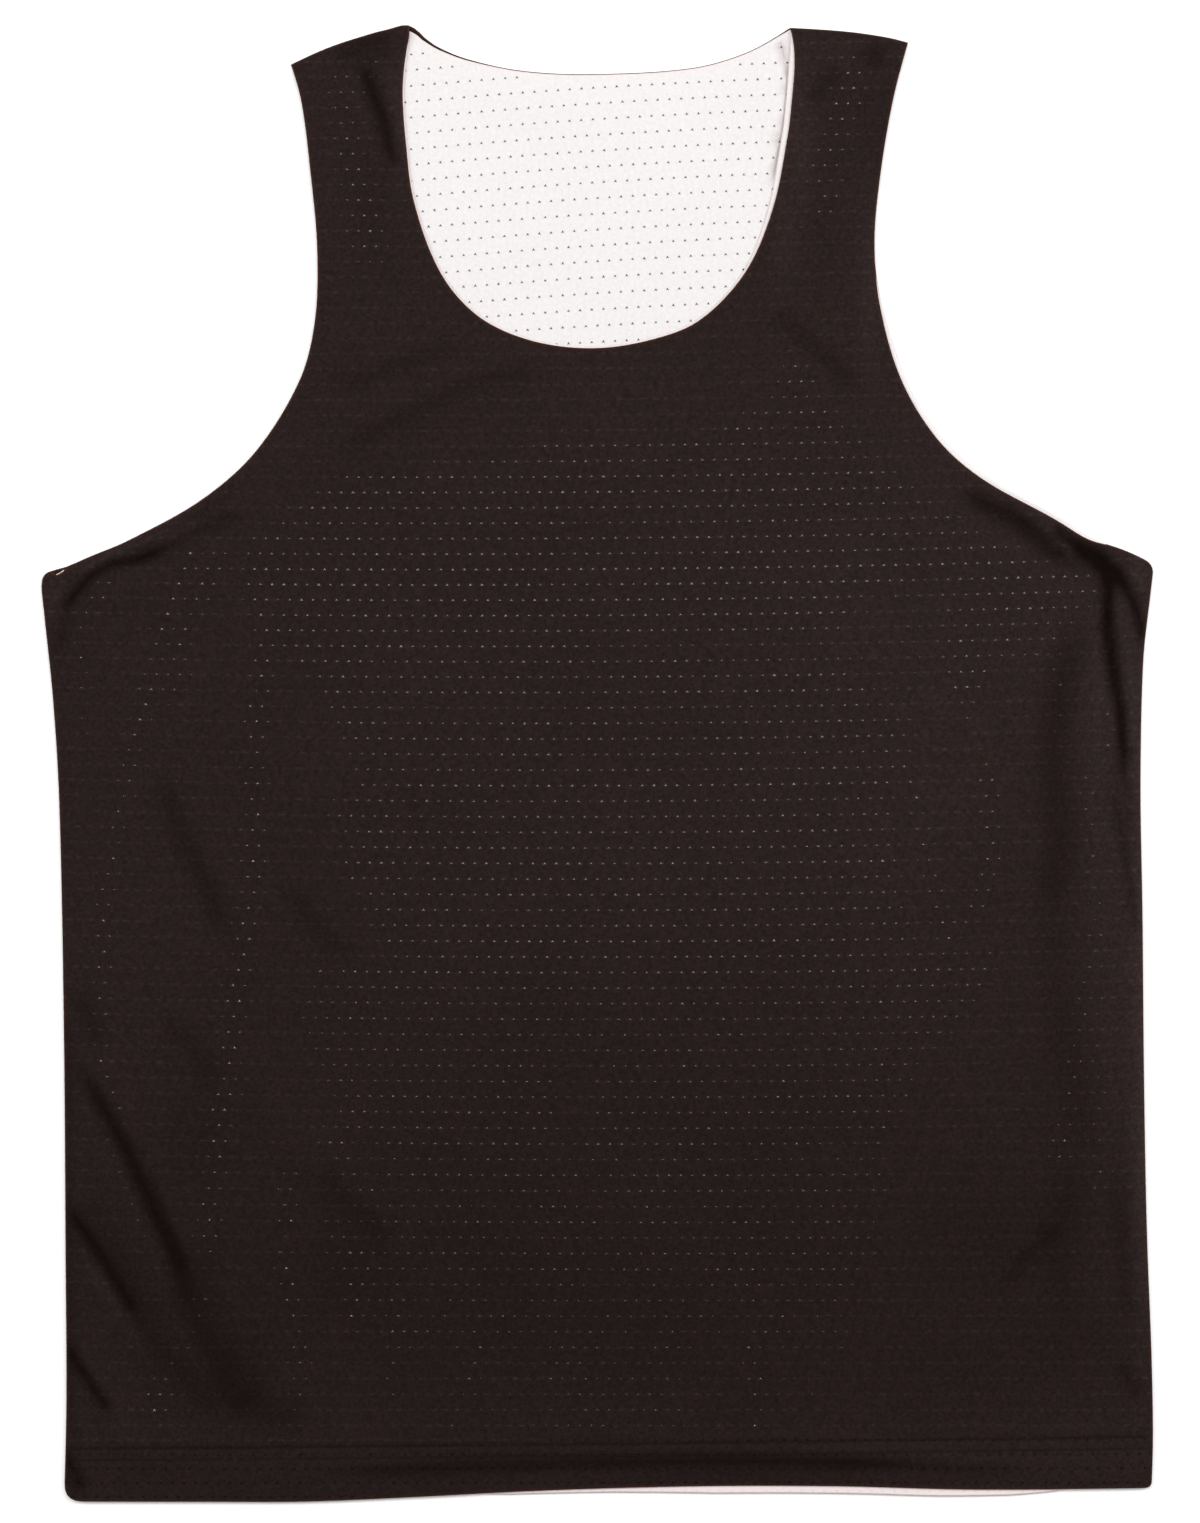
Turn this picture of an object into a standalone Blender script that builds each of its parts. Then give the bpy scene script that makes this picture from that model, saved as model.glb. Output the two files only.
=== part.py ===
"""Basketball jersey, laid flat: a reversible mesh tank of four plies.

The front and the back are each two plies of knitted mesh, a black outer ply and a white inner ply, joined at the
neck, the armholes and the shoulder and side seams, and hemmed one by one. The jersey lies on its back: back outer
ply on the surface, then back inner, front inner and front outer. +X is the right of the view from above, +Y runs
to the neck and +Z is up. The origin is on the surface, below the middle of the garment's box.
"""
import math
from collections import namedtuple

import bpy
import numpy as np
from mathutils.geometry import delaunay_2d_cdt

MM = 0.001

# Driving dimensions, in millimetres.
PLY = 1.0               # wall of one ply
GAP = 0.3               # clearance between neighbouring plies
RIM = 4.6               # width of the band of rings inside an edge
EDGE_ROUND = 0.25       # how far a raw edge is rounded off
SEAM_RUN = 11.0         # length over which a seam's rolled edge begins at a corner
FOLD_CLEAR = 14.0       # folds die out over this distance from a side or shoulder seam
FRONT_STEP = 28.0       # spacing of the points inside a front ply
BACK_STEP = 62.0        # spacing of the points inside a back ply
FOLD_STEP = 13.0        # spacing of the points along a fold
FOLD_POINT_GAP = 5.5    # least distance between two points on the folds

# Height of each ply's under face where it lies flat.
BACK_OUTER_Z = 0.0
BACK_INNER_Z = BACK_OUTER_Z + PLY + GAP
FRONT_INNER_Z = BACK_INNER_Z + PLY + GAP
FRONT_OUTER_Z = FRONT_INNER_Z + PLY + GAP

BLACK_CLOTH = (0.022, 0.016, 0.015, 1.0)
WHITE_CLOTH = (0.86, 0.84, 0.83, 1.0)

# An edge of the garment runs anticlockwise as seen from above, from one corner through its knots to the next.
# seam is True where front and back are sewn together, corner is the rounding of the edge's last corner.
Edge = namedtuple("Edge", "name seam spacing corner knots")

LEFT_SIDE = Edge("left_side", True, 20.0, 7.0, (
    (-281.6, 96.0), (-279.4, 72.9), (-275.5, 32.4), (-273.0, -22.0),
    (-270.8, -140.0), (-270.0, -250.0), (-270.4, -373.2)))
HEM = Edge("hem", False, 17.0, 0.0, (
    (-270.4, -373.2), (-200.0, -373.3), (-147.9, -373.2), (-90.7, -370.8), (-28.0, -367.6),
    (50.0, -365.4), (120.0, -365.4), (190.0, -367.1), (280.6, -366.0)))
RIGHT_SIDE = Edge("right_side", True, 20.0, 5.0, (
    (280.6, -366.0), (280.4, -320.0), (277.8, -235.0), (276.4, -160.0), (275.6, -75.0),
    (274.6, -10.0), (276.0, 52.7), (280.4, 105.0)))
RIGHT_ARMHOLE = Edge("right_armhole", False, 11.0, 0.0, (
    (280.4, 105.0), (262.8, 110.0), (248.5, 113.8), (232.0, 123.6), (195.5, 143.8), (172.2, 164.1),
    (153.5, 194.5), (142.6, 232.0), (139.8, 264.0), (142.4, 296.0), (148.9, 335.3), (156.8, 365.7)))
RIGHT_SHOULDER = Edge("right_shoulder", True, 12.0, 0.0, (
    (156.8, 365.7), (145.9, 368.4), (125.6, 371.1), (97.8, 373.0)))
FRONT_NECK = Edge("neck", False, 11.0, 0.0, (
    (97.8, 373.0), (99.3, 347.5), (96.4, 320.0), (88.4, 282.0), (74.5, 249.5), (51.2, 224.9),
    (25.8, 214.8), (-4.1, 210.7), (-34.9, 214.8), (-61.0, 227.0), (-80.0, 249.0),
    (-93.4, 285.0), (-99.0, 330.0), (-95.9, 373.2)))
BACK_NECK = Edge("neck", False, 12.0, 0.0, (
    (97.8, 373.0), (74.5, 360.5), (46.1, 352.7), (-5.6, 349.8), (-39.5, 351.6), (-66.0, 357.3),
    (-82.0, 363.5), (-95.9, 373.2)))
LEFT_SHOULDER = Edge("left_shoulder", True, 12.0, 0.0, (
    (-95.9, 373.2), (-114.4, 369.7), (-136.0, 363.0), (-155.8, 354.6)))
LEFT_ARMHOLE = Edge("left_armhole", False, 11.0, 6.0, (
    (-155.8, 354.6), (-150.4, 335.3), (-145.9, 300.0), (-142.5, 262.0), (-143.6, 225.0), (-151.4, 194.5),
    (-174.0, 158.0), (-201.1, 133.7), (-237.5, 113.5), (-281.6, 96.0)))

BODY_EDGES = (LEFT_SIDE, HEM, RIGHT_SIDE, RIGHT_ARMHOLE, RIGHT_SHOULDER)
FRONT_EDGES = BODY_EDGES + (FRONT_NECK, LEFT_SHOULDER, LEFT_ARMHOLE)
BACK_EDGES = BODY_EDGES + (BACK_NECK, LEFT_SHOULDER, LEFT_ARMHOLE)

# A plain ply stops seam_inset short of the seams. At each opening it ends inside (+) or outside (-) its outline,
# by rows of (share of the opening's length, distance).
Ply = namedtuple("Ply", "name colour under seam_inset neck left_armhole hem right_armhole")
FRONT_INNER = Ply(
    "front_inner", WHITE_CLOTH, FRONT_INNER_Z, 3.2,
    ((0.0, 3.2), (0.04, -2.6), (0.16, -2.6), (0.3, -1.0), (0.97, -0.8), (1.0, 3.2)),
    ((0.0, 3.2), (0.06, 0.8), (0.94, 0.8), (1.0, 3.2)),
    ((0.0, 3.2), (0.04, 1.4), (0.96, 1.4), (1.0, 3.2)),
    ((0.0, 3.2), (0.06, 0.8), (0.94, 0.8), (1.0, 3.2)))
BACK_INNER = Ply(
    "back_inner", WHITE_CLOTH, BACK_INNER_Z, 2.5,
    ((0.0, 2.5), (0.08, 0.5), (0.75, 0.5), (0.88, 1.6), (1.0, 2.5)),
    ((0.0, 2.5), (0.9, 1.0), (1.0, 2.5)),
    ((0.0, 2.5), (0.06, 1.6), (0.3, 1.2), (0.45, -2.2), (0.6, -3.9), (0.8, -2.2), (0.96, 1.6), (1.0, 2.5)),
    ((0.0, 2.5), (0.07, 1.5), (0.14, -1.6), (0.28, -2.1), (0.54, -2.2), (0.68, 0.6), (1.0, 2.5)))
BACK_OUTER = Ply(
    "back_outer", BLACK_CLOTH, BACK_OUTER_Z, 0.0,
    ((0.0, 0.0), (1.0, 0.0)),
    ((0.0, 0.0), (0.9, 0.3), (1.0, 0.0)),
    ((0.0, 0.0), (0.06, 0.3), (0.3, 0.3), (0.45, -2.7), (0.6, -4.4), (0.8, -2.7), (0.96, 0.3), (1.0, 0.0)),
    ((0.0, 0.0), (0.14, -2.1), (0.28, -2.6), (0.54, -2.7), (0.68, 0.1), (1.0, 0.0)))

# Round the edge of a plain ply: inset from its edge, and height over its under face.
Round = namedtuple("Round", "inset height")
PLAIN_EDGE = (Round(EDGE_ROUND, 0.0), Round(0.0, 0.5 * PLY), Round(EDGE_ROUND, PLY))

# Round the edge of the front outer ply, from its under face to its upper face: at a seam it rolls down over the
# inner plies to just above the back outer ply, at an opening it ends plainly.
Wrap = namedtuple("Wrap", "seam_inset seam_height raw_inset raw_height")
DROP = -2.0 * (PLY + GAP)
WRAPPED_EDGE = (
    Wrap(2.9, 0.0, 2.9, 0.0),
    Wrap(1.05, -1.1, 1.4, 0.0),
    Wrap(1.0, DROP, 0.6, 0.0),
    Wrap(0.0, DROP, EDGE_ROUND, 0.0),
    Wrap(0.0, -1.0, 0.0, 0.45 * PLY),
    Wrap(1.0, 0.5 * PLY, EDGE_ROUND, 0.94 * PLY),
    Wrap(3.4, PLY, 2.0, PLY),
)

# Folds of the front plies: ridges along a crest from start to end, bowed by bow to the left of that way, with the
# reach of the slope on the left and on the right side of the crest.
Fold = namedtuple("Fold", "height left right bow start end")
FOLDS = (
    Fold(3.6, 14.0, 8.0, -3.0, (-264.0, 98.0), (-176.0, 149.0)),        # lip of the left armhole
    Fold(4.4, 9.0, 10.0, 3.0, (198.0, 139.0), (248.0, 99.0)),           # lip of the right armhole
    Fold(6.4, 8.0, 10.0, 3.0, (256.0, 103.0), (268.0, 18.0)),           # from the right underarm down the side
    Fold(3.6, 15.0, 22.0, -3.0, (252.0, 66.0), (256.0, -164.0)),        # soft roll along the right side
    Fold(6.6, 16.0, 24.0, -2.0, (-258.0, -160.0), (-188.0, -332.0)),    # long diagonal, lower left
    Fold(4.0, 12.0, 15.0, 2.0, (-262.0, -242.0), (-214.0, -316.0)),     # second diagonal below it
    Fold(2.4, 8.0, 10.0, 1.0, (-264.0, -302.0), (-243.0, -342.0)),      # short one near the corner
    Fold(2.0, 20.0, 14.0, 3.0, (-216.0, -28.0), (-180.0, -96.0)),       # faint pulls up the left side
    Fold(2.2, 22.0, 16.0, -6.0, (-176.0, -150.0), (-112.0, -240.0)),
    Fold(2.4, 12.0, 14.0, 2.0, (-12.0, -349.0), (176.0, -350.0)),       # roll of the hem
    Fold(2.2, 12.0, 10.0, 2.0, (-130.0, 352.0), (-112.0, 292.0)),       # left strap
    Fold(2.0, 14.0, 12.0, -2.0, (116.0, 350.0), (104.0, 290.0)),        # right strap
    Fold(1.8, 20.0, 16.0, -4.0, (-112.0, 172.0), (-30.0, 202.0)),       # below the neck
)
FOLD_END = 0.12         # share of a fold's rise that its two ends keep
FOLD_TAIL = 0.22        # share of its length over which a fold runs out past its ends
FOLD_OVERLAP = 0.35     # share of the lower fold that adds to the higher one where two meet

Outline = namedtuple("Outline", "points normals seam share edge")
Core = namedtuple("Core", "loop inside triangles")


def smooth_path(knots, count=400):
    """Points along the smooth curve through the knots, with their running length."""
    knots = np.array(knots, float)
    chord = np.linalg.norm(np.diff(knots, axis=0), axis=1)
    at = np.concatenate(([0.0], np.cumsum(chord)))
    slope = np.empty_like(knots)
    slope[1:-1] = (knots[2:] - knots[:-2]) / (at[2:] - at[:-2])[:, None]
    slope[0] = 1.5 * (knots[1] - knots[0]) / chord[0] - 0.5 * slope[1]
    slope[-1] = 1.5 * (knots[-1] - knots[-2]) / chord[-1] - 0.5 * slope[-2]
    here = np.linspace(0.0, at[-1], count)
    span = np.clip(np.searchsorted(at, here, side="right") - 1, 0, len(chord) - 1)
    t = ((here - at[span]) / chord[span])[:, None]
    reach = chord[span][:, None]
    path = ((2 * t**3 - 3 * t**2 + 1) * knots[span] + (t**3 - 2 * t**2 + t) * reach * slope[span]
            + (3 * t**2 - 2 * t**3) * knots[span + 1] + (t**3 - t**2) * reach * slope[span + 1])
    length = np.concatenate(([0.0], np.cumsum(np.linalg.norm(np.diff(path, axis=0), axis=1))))
    return path, length


def along(path, length, where):
    """The points of a path at the given running lengths."""
    return np.column_stack([np.interp(where, length, path[:, axis]) for axis in (0, 1)])


def trace(edges):
    """The closed outline that the edges make, corners rounded, with its inward normals."""
    points, names, share, seam = [], [], [], []
    for number, edge in enumerate(edges):
        path, length = smooth_path(edge.knots)
        start_round = edges[number - 1].corner
        total = length[-1]
        free = total - start_round - edge.corner
        steps = max(2, round(free / edge.spacing))
        where = start_round + free * np.arange(steps + 1) / steps
        if not edge.corner:
            where = where[:-1]
        spots = along(path, length, where)
        points.extend(spots)
        names.extend([edge.name] * len(spots))
        share.extend(where / total)
        seam.extend(min(1.0, w / SEAM_RUN, (total - w) / SEAM_RUN) if edge.seam else 0.0 for w in where)
        if edge.corner:
            following = edges[(number + 1) % len(edges)]
            after = along(*smooth_path(following.knots), np.array([edge.corner]))[0]
            points.append(0.25 * spots[-1] + 0.5 * path[-1] + 0.25 * after)
            names.append(edge.name)
            share.append(1.0)
            seam.append(0.0)
    points = np.array(points)
    ahead = np.roll(points, -1, axis=0) - points
    ahead /= np.linalg.norm(ahead, axis=1)[:, None]
    left = np.column_stack([-ahead[:, 1], ahead[:, 0]])
    normals = left + np.roll(left, 1, axis=0)
    normals /= np.linalg.norm(normals, axis=1)[:, None]
    normals /= np.maximum(0.6, np.sum(normals * left, axis=1))[:, None]
    return Outline(points, normals, np.array(seam), np.array(share), names)


def inset_of(outline, ply):
    """A plain ply's inset at each point of the outline."""
    value = []
    for name, share in zip(outline.edge, outline.share):
        rows = getattr(ply, name, None)
        value.append(np.interp(share, *zip(*rows)) if rows else ply.seam_inset)
    return np.array(value)


def distance_to(points, chain):
    """The distance from each point to a chain of points."""
    best = np.full(len(points), np.inf)
    for start, run in zip(chain[:-1], np.diff(chain, axis=0)):
        t = np.clip(((points - start) @ run) / (run @ run), 0.0, 1.0)
        best = np.minimum(best, np.linalg.norm(points - start - t[:, None] * run, axis=1))
    return best


def crest(fold, count=25):
    """Points along a fold's crest, and the unit vectors to its left."""
    start, end = np.array(fold.start), np.array(fold.end)
    way = end - start
    side = np.array([-way[1], way[0]]) / np.linalg.norm(way)
    t = np.linspace(0.0, 1.0, count)[:, None]
    line = start + t * way + 4.0 * fold.bow * t * (1.0 - t) * side
    ahead = np.gradient(line, axis=0)
    ahead /= np.linalg.norm(ahead, axis=1)[:, None]
    return line, np.column_stack([-ahead[:, 1], ahead[:, 0]])


def fold_rise(fold, points):
    """How far one fold lifts the cloth at each point."""
    line, left = crest(fold)
    nearest = np.argmin(np.linalg.norm(points[:, None, :] - line[None, :, :], axis=2), axis=1)
    offset = points - line[nearest]
    across = np.sum(offset * left[nearest], axis=1)
    beyond = np.sqrt(np.maximum(0.0, np.sum(offset**2, axis=1) - across**2))
    width = np.where(across > 0.0, fold.left, fold.right)
    place = nearest / (len(line) - 1.0)
    taper = np.sin(math.pi * (FOLD_END + (1.0 - 2.0 * FOLD_END) * place))
    fade = np.clip(1.0 - beyond / (FOLD_TAIL * np.linalg.norm(line[-1] - line[0])), 0.0, 1.0)
    swell = 0.5 + 0.5 * np.cos(math.pi * np.clip(np.abs(across) / width, 0.0, 1.0))
    return fold.height * taper * fade * swell


def front_lift(points):
    """How far the folds lift the front plies at each point, dying out towards the side and shoulder seams."""
    lift = np.zeros(len(points))
    for fold in FOLDS:
        rise = fold_rise(fold, points)
        lift = np.maximum(lift, rise) + FOLD_OVERLAP * np.minimum(lift, rise)
    seams = [smooth_path(edge.knots, 40)[0] for edge in FRONT_EDGES if edge.seam]
    near = np.min([distance_to(points, line) for line in seams], axis=0)
    t = np.clip((near - RIM) / (FOLD_CLEAR - RIM), 0.0, 1.0)
    return lift * t * t * (3.0 - 2.0 * t)


def inside_loop(points, loop):
    """Whether each point is inside the closed loop."""
    inside = np.zeros(len(points), bool)
    for a, b in zip(loop, np.roll(loop, -1, axis=0)):
        crosses = (a[1] > points[:, 1]) != (b[1] > points[:, 1])
        rise = b[1] - a[1] if b[1] != a[1] else 1.0
        inside ^= crosses & (points[:, 0] < a[0] + (points[:, 1] - a[1]) * (b[0] - a[0]) / rise)
    return inside


def fold_points(fold):
    """Rows of points along a fold: its crest, its feet and half way down both slopes."""
    line, left = crest(fold)
    steps = max(2, round(np.linalg.norm(line[-1] - line[0]) / FOLD_STEP))
    stations = np.linspace(0, len(line) - 1, steps + 1).round().astype(int)
    rows = []
    for share in (0.0, 0.5, -0.5, 1.0, -1.0):
        reach = fold.left if share > 0 else fold.right
        rows.extend((line + share * reach * left)[stations])
    return rows


def fill_points(loop, step, folds):
    """Points inside the loop: rows along the folds first, then a staggered grid."""
    wanted = [point for fold in folds for point in fold_points(fold)]
    fold_count = len(wanted)
    low, high = loop.min(axis=0), loop.max(axis=0)
    for number, y in enumerate(np.arange(low[1] + 0.5 * step, high[1], step * math.sqrt(0.75))):
        first = 0.5 if number % 2 else 1.0
        wanted.extend((x, y) for x in np.arange(low[0] + first * step, high[0], step))
    wanted = np.array(wanted)
    closed = np.vstack([loop, loop[:1]])
    clear = inside_loop(wanted, loop) & (distance_to(wanted, closed) > 0.2 * step)
    kept = []
    for number in np.flatnonzero(clear):
        spacing = FOLD_POINT_GAP if number < fold_count else 0.55 * step
        if not kept or np.min(np.linalg.norm(wanted[kept] - wanted[number], axis=1)) > spacing:
            kept.append(number)
    return wanted[kept]


def make_core(outline, step, folds=()):
    """The inner part of a panel: its loop, the points inside it and the triangles that fill it."""
    loop = outline.points + RIM * outline.normals
    inside = fill_points(loop, step, folds)
    points = [tuple(p) for p in np.vstack([loop, inside])]
    _, _, faces, origin, _, _ = delaunay_2d_cdt(points, [], [list(range(len(loop)))], 1, 1e-6)
    source = [o[0] for o in origin]
    return Core(loop, inside, [[source[v] for v in face] for face in faces])


def ring(outline, inset, height):
    """One closed ring of points at an inset and height given for each point of the outline."""
    return np.column_stack([outline.points + inset[:, None] * outline.normals, height])


def plain_rings(outline, ply, lift):
    """The rings round a plain ply's edge."""
    inset = inset_of(outline, ply)
    return [ring(outline, inset + row.inset, ply.under + row.height + lift) for row in PLAIN_EDGE]


def wrapped_rings(outline, lift):
    """The rings round the front outer ply's edge, rolled down at the seams."""
    seam, raw = outline.seam, 1.0 - outline.seam
    return [ring(outline, seam * row.seam_inset + raw * row.raw_inset,
                 FRONT_OUTER_Z + seam * row.seam_height + raw * row.raw_height + lift) for row in WRAPPED_EDGE]


def cloth(name, colour):
    """Knitted polyester in one colour."""
    material = bpy.data.materials.new(name)
    material.use_nodes = True
    shader = material.node_tree.nodes["Principled BSDF"]
    shader.inputs["Base Color"].default_value = colour
    shader.inputs["Roughness"].default_value = 0.85
    shader.inputs["Metallic"].default_value = 0.0
    material.diffuse_color = colour
    return material


def build_ply(name, colour, core, rings, lift_loop, lift_inside, under):
    """A closed solid: rings from the under face round the edge to the upper face, with both cores filled."""
    count = len(core.loop)
    over = under + PLY
    loops = ([np.column_stack([core.loop, under + lift_loop])] + rings
             + [np.column_stack([core.loop, over + lift_loop])])
    points = np.vstack(loops + [np.column_stack([core.inside, level + lift_inside]) for level in (under, over)])
    faces = []
    for level in range(len(loops) - 1):
        for k in range(count):
            a, b = level * count + k, level * count + (k + 1) % count
            faces.extend([(a, b, b + count), (a, b + count, a + count)])
    last = (len(loops) - 1) * count
    under_first = len(loops) * count
    over_first = under_first + len(core.inside)
    for triangle in core.triangles:
        faces.append([last + v if v < count else over_first + v - count for v in triangle])
        faces.append([v if v < count else under_first + v - count for v in reversed(triangle)])
    mesh = bpy.data.meshes.new(name)
    mesh.from_pydata([tuple(MM * p) for p in points], [], faces)
    mesh.shade_smooth()
    mesh.set_sharp_from_angle(angle=math.radians(35.0))
    mesh.materials.append(cloth(name + "_cloth", colour))
    bpy.context.scene.collection.objects.link(bpy.data.objects.new(name, mesh))


def build_front():
    """The two front plies, which share their folds and their triangles."""
    outline = trace(FRONT_EDGES)
    core = make_core(outline, FRONT_STEP, FOLDS)
    lift_loop, lift_inside = front_lift(core.loop), front_lift(core.inside)
    build_ply("front_outer", BLACK_CLOTH, core, wrapped_rings(outline, lift_loop),
              lift_loop, lift_inside, FRONT_OUTER_Z)
    build_ply(FRONT_INNER.name, FRONT_INNER.colour, core, plain_rings(outline, FRONT_INNER, lift_loop),
              lift_loop, lift_inside, FRONT_INNER.under)


def build_back():
    """The two back plies, which lie flat."""
    outline = trace(BACK_EDGES)
    core = make_core(outline, BACK_STEP)
    flat_loop, flat_inside = np.zeros(len(core.loop)), np.zeros(len(core.inside))
    for ply in (BACK_INNER, BACK_OUTER):
        build_ply(ply.name, ply.colour, core, plain_rings(outline, ply, flat_loop),
                  flat_loop, flat_inside, ply.under)


def main():
    for old in list(bpy.data.objects):
        bpy.data.objects.remove(old, do_unlink=True)
    build_front()
    build_back()


main()
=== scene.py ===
"""Basketball jersey, laid flat: the looks of its four plies of knitted eyelet mesh.

From below: back outer (black), back inner (white), front inner (white) and front outer (black).
Each is a thin closed shell with its eyelets cut through. Tables are in millimetres, Blender is in metres.
+X is the right of the view from above, +Y runs to the neck and +Z is up.
"""

import math
from collections import namedtuple

import bpy
import numpy as np
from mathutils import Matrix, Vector
from mathutils.geometry import delaunay_2d_cdt


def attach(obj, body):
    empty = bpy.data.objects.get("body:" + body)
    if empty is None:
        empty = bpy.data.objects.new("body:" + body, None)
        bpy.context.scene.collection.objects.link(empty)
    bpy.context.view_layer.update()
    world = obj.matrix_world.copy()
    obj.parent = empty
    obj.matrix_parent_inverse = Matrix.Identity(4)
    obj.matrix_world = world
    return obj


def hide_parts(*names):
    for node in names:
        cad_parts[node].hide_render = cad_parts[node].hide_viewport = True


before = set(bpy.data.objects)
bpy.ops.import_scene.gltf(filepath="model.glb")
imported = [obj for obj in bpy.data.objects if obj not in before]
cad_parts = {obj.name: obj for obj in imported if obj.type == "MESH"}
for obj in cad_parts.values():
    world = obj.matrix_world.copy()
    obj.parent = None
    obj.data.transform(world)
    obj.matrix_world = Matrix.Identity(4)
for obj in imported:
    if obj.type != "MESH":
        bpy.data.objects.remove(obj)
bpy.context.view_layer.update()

MM = 0.001
SEED = 11


def table(kind, *values):
    """A table of one kind of row."""
    return tuple(kind(*row) for row in values)


# ---- sizes of the cloth
PLY = 0.4  # thickness of a ply
RIM = 2.0  # width of the band of rings inside an edge
HEM_DEPTH = 24.0  # turned-up hem, closed eyelets
SLOPE_STEP = 0.4  # step over which a slope is measured
LOFT = 1.3  # air under the front, away from its edges
LOFT_SEAM = (6.0, 34.0)  # distances from a seam between which it grows
LOFT_OPEN = (3.0, 26.0)  # the same from an opening
LOFT_SWELL = 0.16  # share by which it swells and sinks
LOFT_RIPPLES = ((31.0, 1.3, 67.0, 0.0), (43.0, 1.7, 83.0, 0.6))  # run, sway, turn and shift of two ripples
FOLD_SEAM = (2.0, 11.0)  # distances from a seam between which the folds grow
NECK_DROOP = 0.8  # how far the front's neck edge sinks onto the ply below
NECK_DROOP_RUN = (3.0, 10.0)  # distances between which that ends
OPEN_RUN = 16.0  # distance from an opening over which a ply reaches its level
LINING_SINK = 0.35  # how far the front inner ply hangs free of the outer one in the folds
LINING_RISE = (1.8, 3.2)  # lifts between which that grows
LINING_SLACK = 0.06  # how much further it hangs for each millimetre above the first
LINING_NECK = (0.25, 14.0)  # how far it hangs lower at the neck edge, and over which distance
# A front ply's creases: width and depth against the table's, and the most that they take of the lift.
OUTER_CREASE = (1.0, 1.0, 0.85)
LINING_CREASE = (1.35, 1.3, 0.96)
GROOVE_SEAM = (1.5, 6.0)  # distances from a seam between which the stitches' groove grows
LEAST_LEVEL = 0.5  # least height of the back inner ply's under face in its creases

Edge = namedtuple("Edge", "name seam corner knots")
LEFT_SIDE = Edge("left_side", True, 9.5, (
    (-281, 96.6), (-282.2, 91), (-280.8, 76), (-276.3, 32.4), (-273.1, -22), (-270.8, -140), (-270, -250),
    (-269.6, -322), (-270.8, -373.2)))
HEM = Edge("hem", False, 3.4, (
    (-270.8, -373.2), (-200, -373.3), (-147.9, -373.2), (-90.7, -370.8), (-28, -367.6), (50, -365.4),
    (120, -365.4), (190, -367.1), (280.2, -366.3)))
RIGHT_SIDE = Edge("right_side", True, 5, (
    (280.2, -366.3), (280.9, -340), (280.2, -300), (277.8, -235), (276.4, -160), (275.6, -75), (274.6, -10),
    (276, 52.7), (279.6, 86), (281.4, 101)))
RIGHT_ARMHOLE = Edge("right_armhole", False, 0, (
    (281.4, 101), (273.8, 105.2), (262.8, 109.8), (248.5, 113.8), (232, 123.6), (195.5, 143.8),
    (172.2, 164.1), (153.5, 194.5), (142.6, 232), (139.8, 264), (142.4, 296), (148.9, 335.3),
    (156.8, 365.7)))
RIGHT_SHOULDER = Edge("right_shoulder", True, 0, (
    (156.8, 365.7), (145.9, 368.4), (125.6, 371.3), (97, 373.2)))
FRONT_NECK = Edge("neck", False, 0, (
    (97, 373.2), (98.8, 364), (99.2, 355), (98.7, 346), (97.5, 333), (96, 320), (88.4, 282), (74.5, 249.5),
    (51.2, 224.9), (25.8, 214.8), (-4.1, 210.7), (-34.9, 214.8), (-61, 227), (-80, 249), (-93.4, 285),
    (-97.6, 316), (-99.1, 338), (-98.5, 351.6), (-96.8, 363.5), (-95.6, 369.8), (-96.2, 374.5)))
BACK_NECK = Edge("neck", False, 0, (
    (97, 373.2), (74.5, 360.5), (46.1, 352.7), (-5.6, 349.8), (-39.5, 351.6), (-66, 357.3), (-80.5, 363.1),
    (-87.9, 368.1), (-92, 372.2), (-96.2, 374.5)))
LEFT_SHOULDER = Edge("left_shoulder", True, 0, (
    (-96.2, 374.5), (-99.9, 374.4), (-105.3, 372.8), (-114.4, 370.5), (-136, 363.5), (-155.8, 354.6)))
LEFT_ARMHOLE = Edge("left_armhole", False, 3, (
    (-155.8, 354.6), (-150.4, 335.3), (-145.9, 300), (-142.5, 262), (-143.6, 225), (-151.4, 194.5),
    (-174, 158), (-201.1, 133.7), (-237.5, 113.5), (-257, 105.4), (-268, 100.7), (-275.8, 98.5),
    (-281, 96.6)))
BODY_EDGES = (LEFT_SIDE, HEM, RIGHT_SIDE, RIGHT_ARMHOLE, RIGHT_SHOULDER)
FRONT_EDGES = BODY_EDGES + (FRONT_NECK, LEFT_SHOULDER, LEFT_ARMHOLE)
BACK_EDGES = BODY_EDGES + (BACK_NECK, LEFT_SHOULDER, LEFT_ARMHOLE)
EDGE_STEP = 3.4  # spacing of the points along an edge
EDGE_POINTS = 140  # points of an edge's curve when distances to it are measured
PATH_POINTS = 400  # points of other curves
CORNER_STEPS = (0.2, 0.4, 0.6, 0.8)  # points of a rounded corner
LEAST_MITER = 0.6  # least cosine by which a corner's normal grows longer
SHARP_CORNER = 1.12  # length of that normal from which a corner is sharp
CORNER_CLEAR = 1.45  # how far its neighbours stay from it, in offsets
CORNER_SHRINK = 0.2  # least share of its length that a step keeps on the innermost ring

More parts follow.
